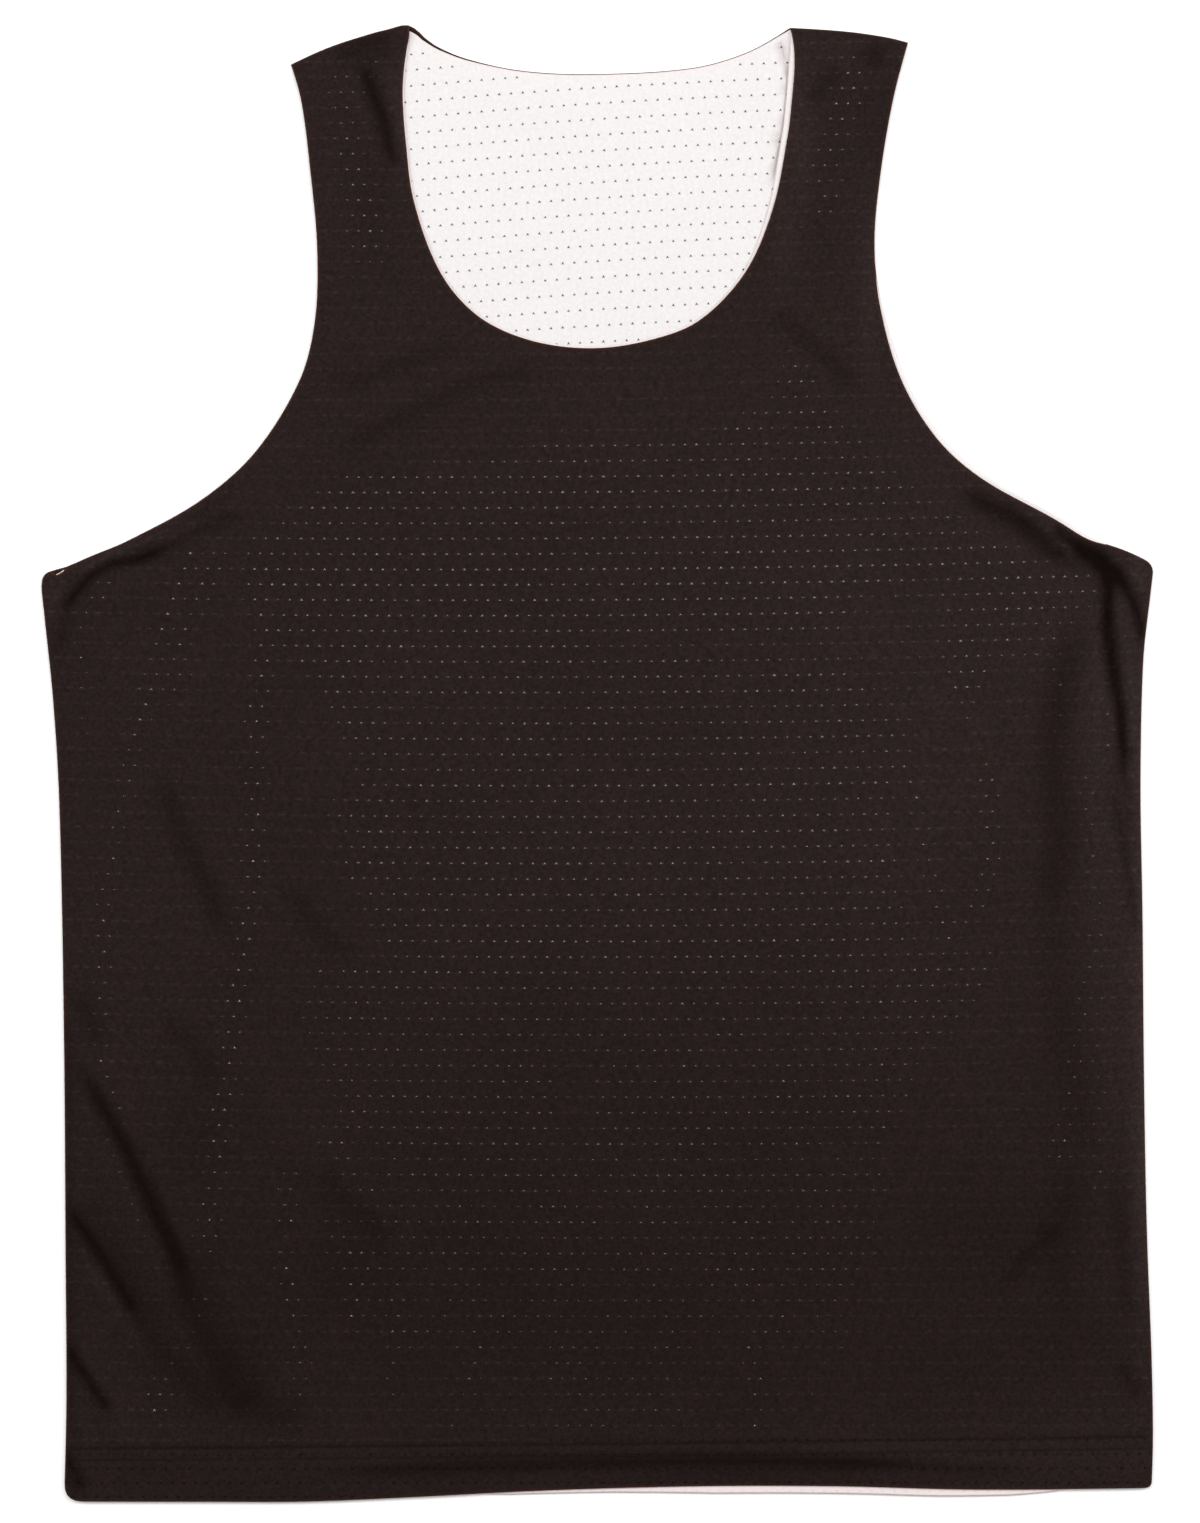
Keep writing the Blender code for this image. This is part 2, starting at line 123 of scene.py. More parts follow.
# level is the height of a ply's under face, open_level that at its openings and seam_level that at a seam,
# which it leaves over seam_run, the rounder the smaller seam_power is. Its inset from the garment's outline
# is seam_inset, or at an opening rows of (share of the opening's length, distance).
Ply = namedtuple(
    "Ply", "name slot black front level open_level seam_level seam_run seam_power seam_inset "
    "neck left_armhole hem right_armhole")
FRONT_OUTER = Ply(
    "front_outer", "black_mesh", True, True, 4, 1.92, 0.6, 10, 0.5, 0,
    None,
    ((0, 0), (0.9605, 0), (0.97, 2.1), (0.9806, 2.9), (0.9905, 0), (1, 0)),
    None,
    None)
LINING_ARMHOLE = ((0, 3.2), (0.06, 0.8), (0.94, 0.8), (1, 3.2))
FRONT_INNER = Ply(
    "front_inner", "white_mesh", False, True, 3.3, 1.2, 1.2, 14, 1, 3.2,
    ((0, 0.8), (0.02, -1.8), (0.05, -3), (0.16, -2.9), (0.3, -1), (0.97, -0.8), (1, 3.2)),
    LINING_ARMHOLE,
    ((0, 3.2), (0.04, 1.4), (0.96, 1.4), (1, 3.2)),
    LINING_ARMHOLE)
BACK_INNER = Ply(
    "back_inner", "white_mesh", False, False, 1.5, 0.6, 0.55, 14, 1, 2.5,
    ((0, 0.9), (0.03, 0.5), (0.08, 0.4), (0.75, 0.5), (0.87, 0.9), (0.93, 1.35), (0.97, 2), (1, 2.9)),
    ((0, 2.5), (0.9, 1), (0.95, 0.8), (0.9605, 1.1), (0.97, 1.3), (0.9806, 2.5), (1, 2.5)),
    ((0, 2.5), (0.06, 1.6), (0.3, 1.2), (0.36, 0.4), (0.41, -1.3), (0.5, -2.1), (0.6, -3.8), (0.8, -3.7),
        (0.87, -2.9), (0.905, -1.5), (0.93, 0.4), (0.97, 1.6), (1, 2.5)),
    ((0, 2.5), (0.06, 1.2), (0.09, -1.2), (0.13, -1.9), (0.22, -2.2), (0.54, -2.3), (0.68, 0.6), (1, 2.5)))
BACK_OUTER = Ply(
    "back_outer", "black_mesh", True, False, 0, 0, 0, 10, 0.5, 0,
    None,
    ((0, 0), (0.9, 0.3), (0.95, 0), (1, 0)),
    ((0, 0), (0.06, 0.3), (0.3, 0.3), (0.36, 0.2), (0.41, -1.3), (0.5, -2.1), (0.6, -3.85), (0.8, -3.75),
        (0.87, -2.9), (0.905, -1.5), (0.93, 0.2), (0.97, 0.3), (1, 0)),
    ((0, 0), (0.06, 0), (0.09, -0.8), (0.13, -1.5), (0.22, -1.8), (0.54, -1.9), (0.68, 0.1), (1, 0)))
PLIES = (BACK_OUTER, BACK_INNER, FRONT_INNER, FRONT_OUTER)

# Round the edge of a ply, from its under face to its upper face: distance in from the edge, share of the
# thickness, and how far the normal leans from up (1) over outward (0) to down (-1).
Ring = namedtuple("Ring", "inset rise up")
EDGE_RINGS = table(
    Ring,
    (RIM, 0, -1), (0.8, 0, -1), (0.16, 0.12, -0.7), (0, 0.5, 0),
    (0.16, 0.88, 0.7), (0.8, 1, 1), (RIM, 1, 1))

# ---- folds and creases
# A fold rises along a crest from start to end, bowed to the left of that way. left and right are how far
# its slopes reach.
Fold = namedtuple("Fold", "height left right bow start end")
FOLDS = table(
    Fold,
    (3.6, 14, 8, -3, (-264, 98), (-176, 149)),  # lip of the left armhole
    (4.4, 9, 10, 3, (198, 139), (248, 99)),  # lip of the right armhole
    (6.4, 8, 10, 3, (256, 103), (268, 18)),  # from the right underarm down the side
    (3.6, 15, 22, -3, (252, 66), (256, -164)),  # soft roll along the right side
    (6.6, 16, 24, -2, (-258, -160), (-188, -332)),  # long diagonal, lower left
    (4, 12, 15, 2, (-262, -242), (-214, -316)),  # second diagonal below it
    (2.4, 8, 10, 1, (-264, -302), (-243, -342)),  # short one near the corner
    (2, 20, 14, 3, (-216, -28), (-180, -96)),  # faint pulls up the left side
    (2.2, 22, 16, -6, (-176, -150), (-112, -240)),
    (2.4, 12, 14, 2, (-12, -349), (176, -350)),  # roll of the hem
    (2.2, 12, 10, 2, (-130, 352), (-112, 292)),  # left strap
    (2, 14, 12, -2, (116, 350), (104, 290)),  # right strap
    (1.8, 20, 16, -4, (-112, 172), (-30, 202)))  # below the neck
FOLD_END = 0.12  # share of a fold's rise that its two ends keep
FOLD_TAIL = 0.22  # share of its length over which a fold runs out past its ends
FOLD_OVERLAP = 0.35  # share of the lower fold that adds to the higher one where two meet
CREST_POINTS = 25  # points of a crest's curve
CREST_BLEND = 1.0  # distance from the crest over which the reach of one side becomes the other's

# A crease sinks along its points. shade is the painted shade in its trough, as a share.
# A negative shade is a painted highlight along a ridge; with a depth of 0 only the paint is left.
Crease = namedtuple("Crease", "depth width shade points")
CREASES = table(
    Crease,
    (2.2, 2.8, 0.7, ((-272, 77), (-265, 86), (-257, 95), (-247, 101), (-237, 103), (-227, 106),
        (-215, 110))),
    (0, 2.8, -0.5, ((-266, 96), (-247, 105), (-237, 108), (-226, 113), (-214, 118), (-198, 125))),
    (0.8, 4.5, 0.3, ((-240, 103), (-224, 109), (-209, 116), (-194, 122), (-176, 126))),
    (1, 3.4, 0.3, ((-266, 88), (-270, 75), (-273, 56))),
    (1.5, 5, 0.58, ((184, 142), (194, 132), (208, 125), (220, 116), (232, 106), (241, 102))),
    (1.8, 3.4, 0.68, ((229, 122), (239, 113), (249, 106), (258, 99))),
    (1.5, 6.5, 0.72, ((238, 110), (248, 106), (257, 99), (262, 88))),
    (0, 6, 0.3, ((242, 110), (250, 105), (255, 101), (262, 92), (266, 84))),
    (2.8, 3.2, 0.76, ((250, 107), (257, 97), (257, 78), (257, 68), (259, 54), (261, 40), (264, 26),
        (265, 10), (264, -12))),
    (1.7, 3, 0.74, ((259, 103), (266, 91), (271, 81), (274, 71), (275, 60))),
    (0.9, 8.5, 0.34, ((243, 78), (239, 61), (234, 40), (231, 22), (230, 2), (232, -26), (233, -40),
        (230, -57), (229, -85))),
    (0.5, 10, 0.16, ((229, -70), (230, -103), (233, -132), (240, -162), (245, -187), (243, -206))),
    (0.9, 2.6, 0.34, ((259, -8), (267, -49), (272, -89))),
    (0.8, 4, 0.24, ((204, -266), (216, -251), (234, -233))),
    (0.5, 7, 0.18, ((246, -202), (237, -220), (231, -242), (235, -268), (240, -286))),
    (0.5, 5, 0.22, ((262, -206), (266, -250), (270, -286))),
    (0.8, 4, 0.34, ((263, -303), (269, -312), (274, -321))),
    (0.4, 13, 0.14, ((-214, -240), (-203, -265), (-192, -290), (-182, -312), (-172, -334))),
    (0.4, 9, 0.24, ((-184, -318), (-166, -328), (-146, -331))),
    (2.3, 4.2, 0.66, ((-264, -151), (-257, -162), (-248, -178), (-238, -195), (-230, -212), (-223, -227),
        (-217, -240), (-211, -254), (-205, -270))),
    (0.6, 8, 0.28, ((-214, -256), (-204, -278), (-196, -296), (-186, -318), (-176, -334))),
    (0, 6, 0.15, ((-266, -212), (-256, -228), (-246, -246), (-236, -264), (-224, -286))),
    (0, 3, -0.28, ((220, 116), (236, 108), (252, 100))),
    (0, 2.6, 0.3, ((263, 36), (265, 15), (267, -10), (270, -40))),
    (0, 4.5, -0.24, ((-258, -250), (-245, -273), (-229, -299))),
    (0, 3, 0.22, ((-269, -120), (-268, -180), (-268, -230), (-267, -300), (-266, -366))),
    (1.7, 4, 0.7, ((-270, -222), (-258, -239), (-247, -256), (-239, -269), (-231, -282))),
    (0.6, 6.5, 0.26, ((-237, -272), (-223, -295), (-207, -313), (-190, -330))),
    (1.4, 3.2, 0.68, ((-271, -292), (-263, -304), (-255, -316), (-246, -329))),
    (0, 2.6, 0.55, ((-271, -348), (-266, -357), (-260, -368))),
    (0.5, 4.6, 0.3, ((-263, -114), (-258, -127), (-252, -143))),
    (0.6, 6, 0.32, ((-220, -4), (-216, -23), (-207, -42), (-199, -59), (-192, -76), (-188, -88))),
    (0.5, 5.5, 0.24, ((-157, -62), (-145, -80), (-133, -91), (-120, -96))),
    (0.6, 6, 0.22, ((-222, -127), (-209, -140), (-199, -154), (-192, -163))),
    (0.7, 6, 0.24, ((-144, -202), (-128, -220), (-114, -234), (-105, -246))),
    (1.2, 3.8, 0.46, ((-150, -359), (-100, -357), (-50, -355), (0, -354), (42, -353), (92, -353),
        (172, -355))),
    (0.6, 3, 0.25, ((110, -354), (150, -355), (190, -357), (222, -359))),
    (1.4, 3.8, 0.64, ((-121, 356), (-118, 350), (-114, 339), (-109, 327), (-105, 311), (-103, 300))),
    (0.3, 8, 0.32, ((-134, 360), (-118, 364), (-102, 368))),
    (0.5, 4, 0.34, ((120, 354), (115, 345), (107, 334))),
    (0.3, 6, 0.4, ((134, 362), (140, 359), (146, 356))),
    (0.4, 5, 0.2, ((-141, 193), (-113, 197), (-85, 207), (-66, 212))),
    (0.5, 5, 0.24, ((-133, 155), (-113, 168), (-85, 182), (-62, 193), (-40, 198), (-24, 201))),
    (0.6, 5.5, 0.26, ((87, 231), (102, 216), (116, 205), (130, 188))))
# The white back ply's, inside the front's neck edge: a small fold from the shoulder down, and its trough.
# Their shade is painted shade; along the trough it is the painted shadow of the front's raised edge.
NECK_CREASES = table(
    Crease,
    (0.8, 1.3, 0.3, ((91.2, 368.2), (92.7, 362.7), (94.2, 357.6), (95.6, 351.5), (96, 346.4))),
    (0.7, 1.2, 0.4, ((95.6, 353), (96.4, 346.4), (96.3, 338.9), (95.5, 331.3), (94.3, 323.7), (92.5, 316.1),
        (90, 305), (87, 292))))
CREASE_POINTS = 24  # points of a crease's curve
CREASE_ENDS = 0.16  # share of its length over which a crease fades at each end
CREASE_TIP = 0.15  # share of its strength that is left at its very ends
SHADE_TOP = 0.82  # most painted shade that creases and stitches put on the cloth

# Painted light and shade over broad areas of the black front: gain, middle and reach.
LightSpot = namedtuple("LightSpot", "gain x y wide tall")
LIGHT_SPOTS = table(
    LightSpot,
    (-0.24, 0, -272, 330, 95), (-0.1, 0, -142, 210, 65), (-0.03, -170, 60, 110, 120),
    (0.14, 240, -352, 120, 18), (-0.16, -179, -308, 14, 16), (-0.2, -268, -360, 9, 12),
    (-0.12, -230, -356, 28, 8), (-0.08, 190, -308, 60, 25), (0.18, 262, -60, 22, 170),
    (-0.05, -190, -60, 90, 240), (0.3, 273, 95, 7, 14), (0.5, 275, -70, 5, 130), (0.5, 276, -215, 5, 80),
    (0.22, 253, 30, 6, 45), (-0.09, 238, -170, 14, 70), (-0.07, -262, 10, 18, 80), (0.08, 125, 362, 25, 12),
    (-0.1, 115, 262, 10, 30), (0.3, 268, 20, 7, 50), (-0.1, 215, -235, 60, 34), (-0.12, 245, -290, 30, 18),
    (-0.1, -205, -185, 18, 30), (-0.1, -130, -258, 18, 25), (0.13, 175, 100, 110, 130),
    (0.12, 228, 65, 20, 20), (0.3, -276, 84, 6, 12), (0.4, -101, 325, 5, 30), (-0.12, -113, 275, 14, 35),
    (-0.12, 142, 330, 14, 30), (0.3, 138, 245, 5, 45), (0.45, 102, 320, 7, 36), (0.3, 93, 272, 5, 25))
RIM_LIGHT = (0.13, 2.5, 5.0)  # painted light on the white back along the right armhole: gain, and where it fades
EDGE_LIGHT_BAND = 0.9  # width of the band of painted edge light and shade along the cloth's edges
HEM_REFLECTION = (0.7, 2.0, 8.0)  # painted reflection: warm tint of the white back's hem: share, and where it fades

# ---- stitches of the hem
STITCH_LINE = ((-266.5, -346.0), (-100.0, -344.6), (50.0, -342.9), (180.0, -341.2), (276.5, -340.2))
# shade is the painted shade along a row's groove, as a share.
Stitches = namedtuple("Stitches", "drop groove width shade")
STITCH_ROWS = table(Stitches, (0.0, 0.36, 0.9, 0.42), (6.0, 0.3, 0.8, 0.2))
STITCH_PITCH = 3.0
STITCH_GAP = 0.45  # between two stitches
THREAD = 0.17  # radius of the thread
THREAD_SIDES = 6
STITCH_SEAT = 0.4  # height of a stitch's middle over the cloth, in radii
# Along a stitch: place, in halves of its length, and the thread's radius and rise there, in radii.
STITCH_PROFILE = ((-1, 0.25, -0.6), (-0.7, 0.9, 0), (0, 1, 0.25), (0.7, 0.9, 0), (1, 0.25, -0.6))

# ---- eyelets
# Rows of eyelets run across the cloth, every other row shifted by half a pitch: the pitch, the place of an
# eyelet of row 0 in the black and the white ply, and the heights of some rows as (row, height).
FRONT_LATTICE = (5.895, -47.08, -48.55, (
    (-32, 386.7), (0, 137.6), (14, 28.5), (41, -184.0), (60, -334.2), (66, -378.2)))
BACK_LATTICE = (5.9, -90.8, -92.3, ((-6, 399.9), (0, 351.9), (91, -376.1)))
ROW_HALF = 60  # eyelets to either side of that place
BOW = 3.75e-5  # curve of the front's rows, per millimetre
BOW_MIDDLE = -95.0
BOW_FADE = (-246.0, 83.0)  # heights between which it grows
MOST_BOW = 1.2  # share of it at the most, above them
LOW_BOW = 3.1e-5  # second curve of the front's rows, over the lower half
LOW_MIDDLE = 31.0
LOW_START, LOW_END = (-125.0, 20.0), (180.0, 335.0)  # depths over which it sets in and fades out
LEAN = (0.09, -1.48e-4)  # slope and curve of the back's rows
LEAN_START = -92.3  # where they are counted from
LEAN_RUN = (-60.0, 240.0)  # how far to either side
LEAN_FADE = (60.0, 250.0)  # heights between which they set in
# How far the eyelets of a row are shifted along it: rows of (height, shift) for the front.
FRONT_SWAY = ((-307, 8.2), (-206, 6.1), (-104, 3.6), (-54, 2.2), (48, 0.4), (149, -0.6), (390, -0.6))
BACK_SWAY = (0.4, 0.009, 262.0, 350.0)  # shift, how it grows with x, and the heights between which it does
EYELET_MARGIN = 1.7  # least distance from an eyelet to the band of rings
LINING_MARGIN = 1.15  # the same of the white cloth
STITCH_MARGIN = 2.0  # closed cloth above the hem
EYELET_WIDTH = (0.9, 1.45)  # closed and wide open
EYELET_HEIGHT = (0.13, 1.15)
EYELET_NOTCH = 0.3  # share of the height that the notch between its feet takes
EYELET_SIDES = ((0, 1), (1, 2), (2, 3), (3, 0))
CARET = (1.65, 1.45, 0.50)  # width, height and notch of an open eyelet of the white cloth
CARET_SPREAD = 0.03  # how much its size differs from the next
BLACK_CARET = 0.75  # its size in the black back

# Where the front's eyelets gape: in patches, less so in the dim ones, and along bands.
Patch = namedtuple("Patch", "gape soft points")
PATCHES = table(
    Patch,
    (0.48, 12, ((-150, -104), (-100, -112), (-19, -118), (204, -95), (191, -125), (168, -145), (153, -175),
        (145, -203), (133, -266), (112, -317), (82, -338), (-85, -338), (-80, -312), (-100, -300),
        (-138, -262), (-138, -240), (-122, -225), (-124, -180), (-146, -155))),
    (0.59, 12, ((-140, -200), (152, -200), (138, -262), (-138, -262))),
    (0.62, 9, ((-144, -99), (204, -92), (191, -125), (168, -145), (150, -185), (60, -210), (-60, -215),
        (-125, -195), (-144, -140))),
    (0.79, 9, ((-181, 111), (-151, 134), (-126, 148), (-60, 155), (-19, 168), (52, 168), (85, 184),
        (100, 215), (120, 179), (143, 154), (173, 131), (219, 108), (256, 95), (252, 80), (242, 70),
        (238, 57), (226, 52), (204, 55), (187, 22), (176, 37), (171, 63), (155, 32), (161, 7), (150, -13),
        (149, -40), (156, -69), (164, -99), (-100, -108), (-115, -84), (-128, -59), (-138, -18),
        (-122, -16), (-130, 12), (-146, 43), (-166, 63), (-179, 83))))
DIM_PATCHES = table(
    Patch,
    (0.26, 8, ((-95, -292), (-30, -292), (-30, -342), (-95, -342))),
    (0.26, 8, ((40, -292), (128, -292), (108, -342), (40, -342))),
    (0.68, 8, ((152, 150), (205, 125), (205, 55), (152, 60))),
    (0.3, 7, ((128, 83), (171, 98), (176, 73), (168, 32), (138, 37), (120, 58))),
    (0.12, 5, ((-19, -145), (-4, -145), (-3, -185), (-21, -185))),
    (0.45, 5, ((0, 63), (128, 66), (128, 52), (0, 55))),
    (0.45, 4, ((-105, 33), (-19, 33), (-19, 25), (-105, 24))))
Band = namedtuple("Band", "gape width points")
BANDS = table(
    Band,
    (0.85, 5, ((-207, 106), (-222, 63), (-237, 2), (-250, -69), (-252, -150), (-237, -201), (-227, -241))),
    (1, 6.5, ((-167, 103), (-170, 53), (-174, 2), (-174, -49), (-181, -99), (-190, -165), (-197, -241))),
    (0.77, 5.5, ((-156, -208), (-159, -251), (-151, -292), (-151, -317), (-159, -341))),
    (0.7, 4.5, ((-242, 101), (-255, 83), (-263, 63), (-263, -3))),
    (0.75, 8, ((-192, 106), (-202, 85), (-212, 63), (-218, 37))),
    (1.25, 6.5, ((-201, -271), (-205, -287), (-214, -302), (-222, -318), (-223, -327))),
    (1.05, 4, ((-248, -180), (-246, -196), (-239, -208), (-232, -228), (-228, -240))),
    (0.87, 8, ((-131, -228), (-126, -246), (-123, -282))),
    (0.66, 11, ((-132, -190), (-124, -226))),
    (0.7, 4.5, ((-100, -239), (-103, -271), (-105, -317))),
    (0.73, 5, ((-60, -292), (-65, -317), (-80, -337))),
    (0.7, 5, ((-24, -282), (-22, -337))),
    (0.84, 6, ((29, -317), (24, -340))),
    (0.77, 5, ((74, -292), (82, -317), (77, -340))),
    (0.84, 5.5, ((155, 2), (166, -44), (171, -69), (176, -89), (168, -125))),
    (0.84, 6, ((196, 2), (199, -44), (193, -69), (176, -87))),
    (0.95, 5.5, ((247, -8), (249, -49), (253, -79), (243, -140), (234, -196))),
    (0.95, 5.5, ((259, 55), (260, 10))),
    (0.75, 5.5, ((252, -79), (253, -120), (252, -211))),
    (1.15, 4, ((229, 68), (233, 45), (233, 20), (232, 8))),
    (1.55, 3.5, ((228, 94), (251, 95))),
    (1, 3.5, ((222, 86), (251, 87))),
    (1, 6, ((183, 62), (187, 30))),
    (1.05, 12, ((-118, 358), (-126, 336), (-127, 311), (-121, 291), (-117, 264))),
    (1.05, 12, ((132, 366), (129, 346), (116, 311), (108, 301))),
    (0.8, 7, ((118, 291), (112, 279))),
    (0.56, 5, ((112, 278), (85, 263))))
BRIGHT_ROWS = (0, 5, 6, 24, 31, 42)  # rows of the front that gape more than their neighbours
BRIGHT_ROW_GAIN = 0.16
ROW_COUNT, ROW_ABOVE = 120, 40  # rows that get a gape of their own, and how many of them are above row 0
ROW_SPREAD = 0.07  # how much a row's gape differs from its neighbours'
EYELET_SPREAD = 0.16  # how much one eyelet's gape differs from the next
GRAIN_GAIN = 0.35  # how patchy the lower front's gape is
GRAIN_FADE = (60.0, 260.0)  # depths below the middle between which that grows
GRAIN_RIPPLE, GRAIN_WAVE = (7.3, 2.0, 19.0), 11.0  # run, sway and turn of its ripples, and their length
GAPE_SEAM = (7.0, 18.0)  # distances from an edge between which eyelets may gape
GAPE_GAIN, MOST_GAIN, MOST_GAPE = 1.05, 1.5, 1.2

# ---- points between the eyelets
POINT_SPACING = 1.15  # least distance between two of them
EDGE_CLEAR = 1.2  # least distance from them to the band of rings
BETWEEN_ROWS = (0.0, 3.9)
ROW_POINTS = 60  # points of the curve along which a row is laid
FINE_OFFSET = 1.2  # how far beside a stitch or a neck crease its points lie
FINE_STEP = 1.5  # and how far apart
STEEP_FOLD = 0.2  # height over reach from which a fold gets its own rows of points
FOLD_ROWS = (0.0, 0.25, -0.25, 0.5, -0.5, 0.75, -0.75, 1.0, -1.0)  # their places, in reaches of the slope
FOLD_STEP = 3.4
DEEP_CREASE = 0.7  # depth over which a crease of the front gets its own rows of points
CREASE_BESIDE = 0.6  # how far beside it they lie, in its widths
CREASE_STEP = 4.0
INSIDE_ONLY = 1  # the triangulation keeps what the loop is around
SAME_PLACE = 1e-6  # distance up to which it takes two points for one
UV_MARGIN = 0.005  # of the texture's plane, which is 1 wide

# ---- looks
# edge is the painted edge colour: a lighter reddish glow on the black cloth, a slightly darker pink band of
# painted shade on the white.
Look = namedtuple("Look", "warm cool edge dash specular mottling dash_share hole_shade bump")
BLACK_LOOK = Look(
    (0.0170, 0.0100, 0.0092), (0.0142, 0.0094, 0.0085), (0.088, 0.028, 0.014), (0.030, 0.023, 0.022),
    0.04, 1.5, 0.25, 0.5, 0.55)
WHITE_LOOK = Look(
    (0.685, 0.653, 0.645), (0.672, 0.648, 0.648), (0.74, 0.60, 0.58), (0.64, 0.63, 0.63),
    0.3, 0.22, 0.3, 0.15, 0.5)
WALES = 10.0  # ribs of the knit between two eyelets of a row
COURSES = 13.0  # rows of stitches of the knit between two rows of eyelets
# How far from an eyelet's place, along and across the rows, a dash or a closed eyelet begins and is full.
DASH = ((0.42, 0.14), (0.13, 0.03))
CLOSED_EYELET = ((0.19, 0.07), (0.11, 0.04))
# Noises: scale, detail and roughness.
GRAIN = (620.0, 3.0)
BROAD = (9.0, 2.0)
MOTTLE, MOTTLE_RANGE = (260.0, 4.0, 0.65), (0.36, 0.64)
DASH_NOISE, DASH_SWING = (120.0, 1.0), 0.8
EDGE_LIGHT_NOISE, EDGE_LIGHT_SWING = (40.0, 2.0), (0.8, 0.35)  # noise of the painted edge light, and its gain and base
TWIST = (2500.0, 1.0)
BROAD_SHARE = 0.2  # share of the mottling that the broad noise has
RIB_SHADE = 0.16  # how much darker the cloth is between its ribs
ROUGHNESS = (0.2, 0.68)  # gain by the grain, and base
PAINTED_LIGHT_TINT = (0.98, 1.12, 1.16)  # how much of the painted light and shade acts on red, green and blue
LOOP_RELIEF, GRAIN_RELIEF, DASH_RELIEF = 0.7, 0.5, 0.6  # shares of the knit's height
CLOTH_RELIEF = 0.00012  # that height, in metres
THREAD_DARK = (0.009, 0.006, 0.006)
THREAD_LIGHT = (0.0162, 0.0108, 0.0108)
THREAD_ROUGH, THREAD_SPECULAR = 0.7, 0.05
THREAD_BUMP = (0.4, 0.00008)  # strength, and height in metres
FLOOR_COLOUR = (0.95, 0.95, 0.95)
FLOOR_ROUGH, FLOOR_SPECULAR = 0.9, 0.1

# ---- stage, in metres
FLOOR_HALF = 6.0
FLOOR_LEVEL = -0.0006
SKY = 0.46
Lamp = namedtuple("Lamp", "name power size place")
LAMPS = table(
    Lamp,
    ("key_right", 29.0, 1.1, (1.9, 0.7, 1.8)),
    ("key_left", 24.0, 1.1, (-1.9, 0.6, 1.8)),
    ("overhead", 55.0, 2.4, (0.0, 1.2, 3.0)))
CAMERA_LENS = 120.0
CAMERA_SENSOR = 36.0
VIEW_HEIGHT = 0.7714  # height of the picture on the front's level
VIEW_CENTRE = (0.00076, 0.00152, 0.0012)

Outline = namedtuple("Outline", "points normals share edge")


# ---- lines and distances
def smooth_path(knots, count=PATH_POINTS):
    """Points along the smooth curve through the knots, with their running length."""
    knots = np.array(knots, float)
    chord = np.linalg.norm(np.diff(knots, axis=0), axis=1)
    at = np.concatenate(([0.0], np.cumsum(chord)))
    slope = np.empty_like(knots)
    slope[1:-1] = (knots[2:] - knots[:-2]) / (at[2:] - at[:-2])[:, None]
    slope[0] = 1.5 * (knots[1] - knots[0]) / chord[0] - 0.5 * slope[1]
    slope[-1] = 1.5 * (knots[-1] - knots[-2]) / chord[-1] - 0.5 * slope[-2]
    here = np.linspace(0.0, at[-1], count)
    span = np.clip(np.searchsorted(at, here, side="right") - 1, 0, len(chord) - 1)
    t = ((here - at[span]) / chord[span])[:, None]
    reach = chord[span][:, None]
    path = ((2 * t**3 - 3 * t**2 + 1) * knots[span] + (t**3 - 2 * t**2 + t) * reach * slope[span]
            + (3 * t**2 - 2 * t**3) * knots[span + 1] + (t**3 - t**2) * reach * slope[span + 1])
    length = np.concatenate(([0.0], np.cumsum(np.linalg.norm(np.diff(path, axis=0), axis=1))))
    return path, length


def along(path, length, where):
    """The points of a path at the given running lengths."""
    return np.column_stack([np.interp(where, length, path[:, axis]) for axis in (0, 1)])


def unit(vectors):
    """The vectors at length 1."""
    return vectors / np.linalg.norm(vectors, axis=1)[:, None]


def left_of(line):
    """The unit vectors to the left of a line."""
    ahead = unit(np.gradient(line, axis=0))
    return np.column_stack([-ahead[:, 1], ahead[:, 0]])


def smooth_step(value, low, high):
    """0 up to low, 1 from high, smooth between them."""
    t = np.clip((value - low) / (high - low), 0.0, 1.0)
    return t * t * (3.0 - 2.0 * t)


def ripple(along_way, across, run, sway, turn, shift=0.0):
    """A wave from -1 to 1 whose crests sway."""
    return np.sin(along_way / run + sway * np.sin(across / turn + shift))


def near_chain(points, chain):
    """The distance from each point to a chain of points, and the share of its length where that is."""
    chain = np.array(chain, float)
    runs = np.diff(chain, axis=0)
    lengths = np.linalg.norm(runs, axis=1)
    starts = np.concatenate(([0.0], np.cumsum(lengths)))
    best = np.full(len(points), np.inf)
    place = np.zeros(len(points))
    for start, run, size, before in zip(chain[:-1], runs, lengths, starts):
        x, y = points[:, 0] - start[0], points[:, 1] - start[1]
        t = np.clip((x * run[0] + y * run[1]) / size**2, 0.0, 1.0)
        away = (x - t * run[0]) ** 2 + (y - t * run[1]) ** 2
        closer = away < best
        best = np.where(closer, away, best)
        place = np.where(closer, before + t * size, place)
    return np.sqrt(best), place / starts[-1]


def near_loop(points, loop):
    """The distance from each point to a closed loop."""
    return near_chain(points, [*loop, loop[0]])[0]


def inside_loop(points, loop):
    """Whether each point is inside a closed loop."""
    loop = np.array(loop, float)
    inside = np.zeros(len(points), bool)
    for a, b in zip(loop, np.roll(loop, -1, axis=0)):
        crosses = (a[1] > points[:, 1]) != (b[1] > points[:, 1])
        rise = b[1] - a[1] if b[1] != a[1] else 1.0
        inside ^= crosses & (points[:, 0] < a[0] + (points[:, 1] - a[1]) * (b[0] - a[0]) / rise)
    return inside


def from_edge(points, edge):
    """The distance from each point to an edge of the garment."""
    return near_chain(points, smooth_path(edge.knots, EDGE_POINTS)[0])[0]


def nearest_edge(points, edges, seam):
    """The distance from each point to the nearest seam, or to the nearest opening."""
    return np.min([from_edge(points, edge) for edge in edges if edge.seam == seam], axis=0)


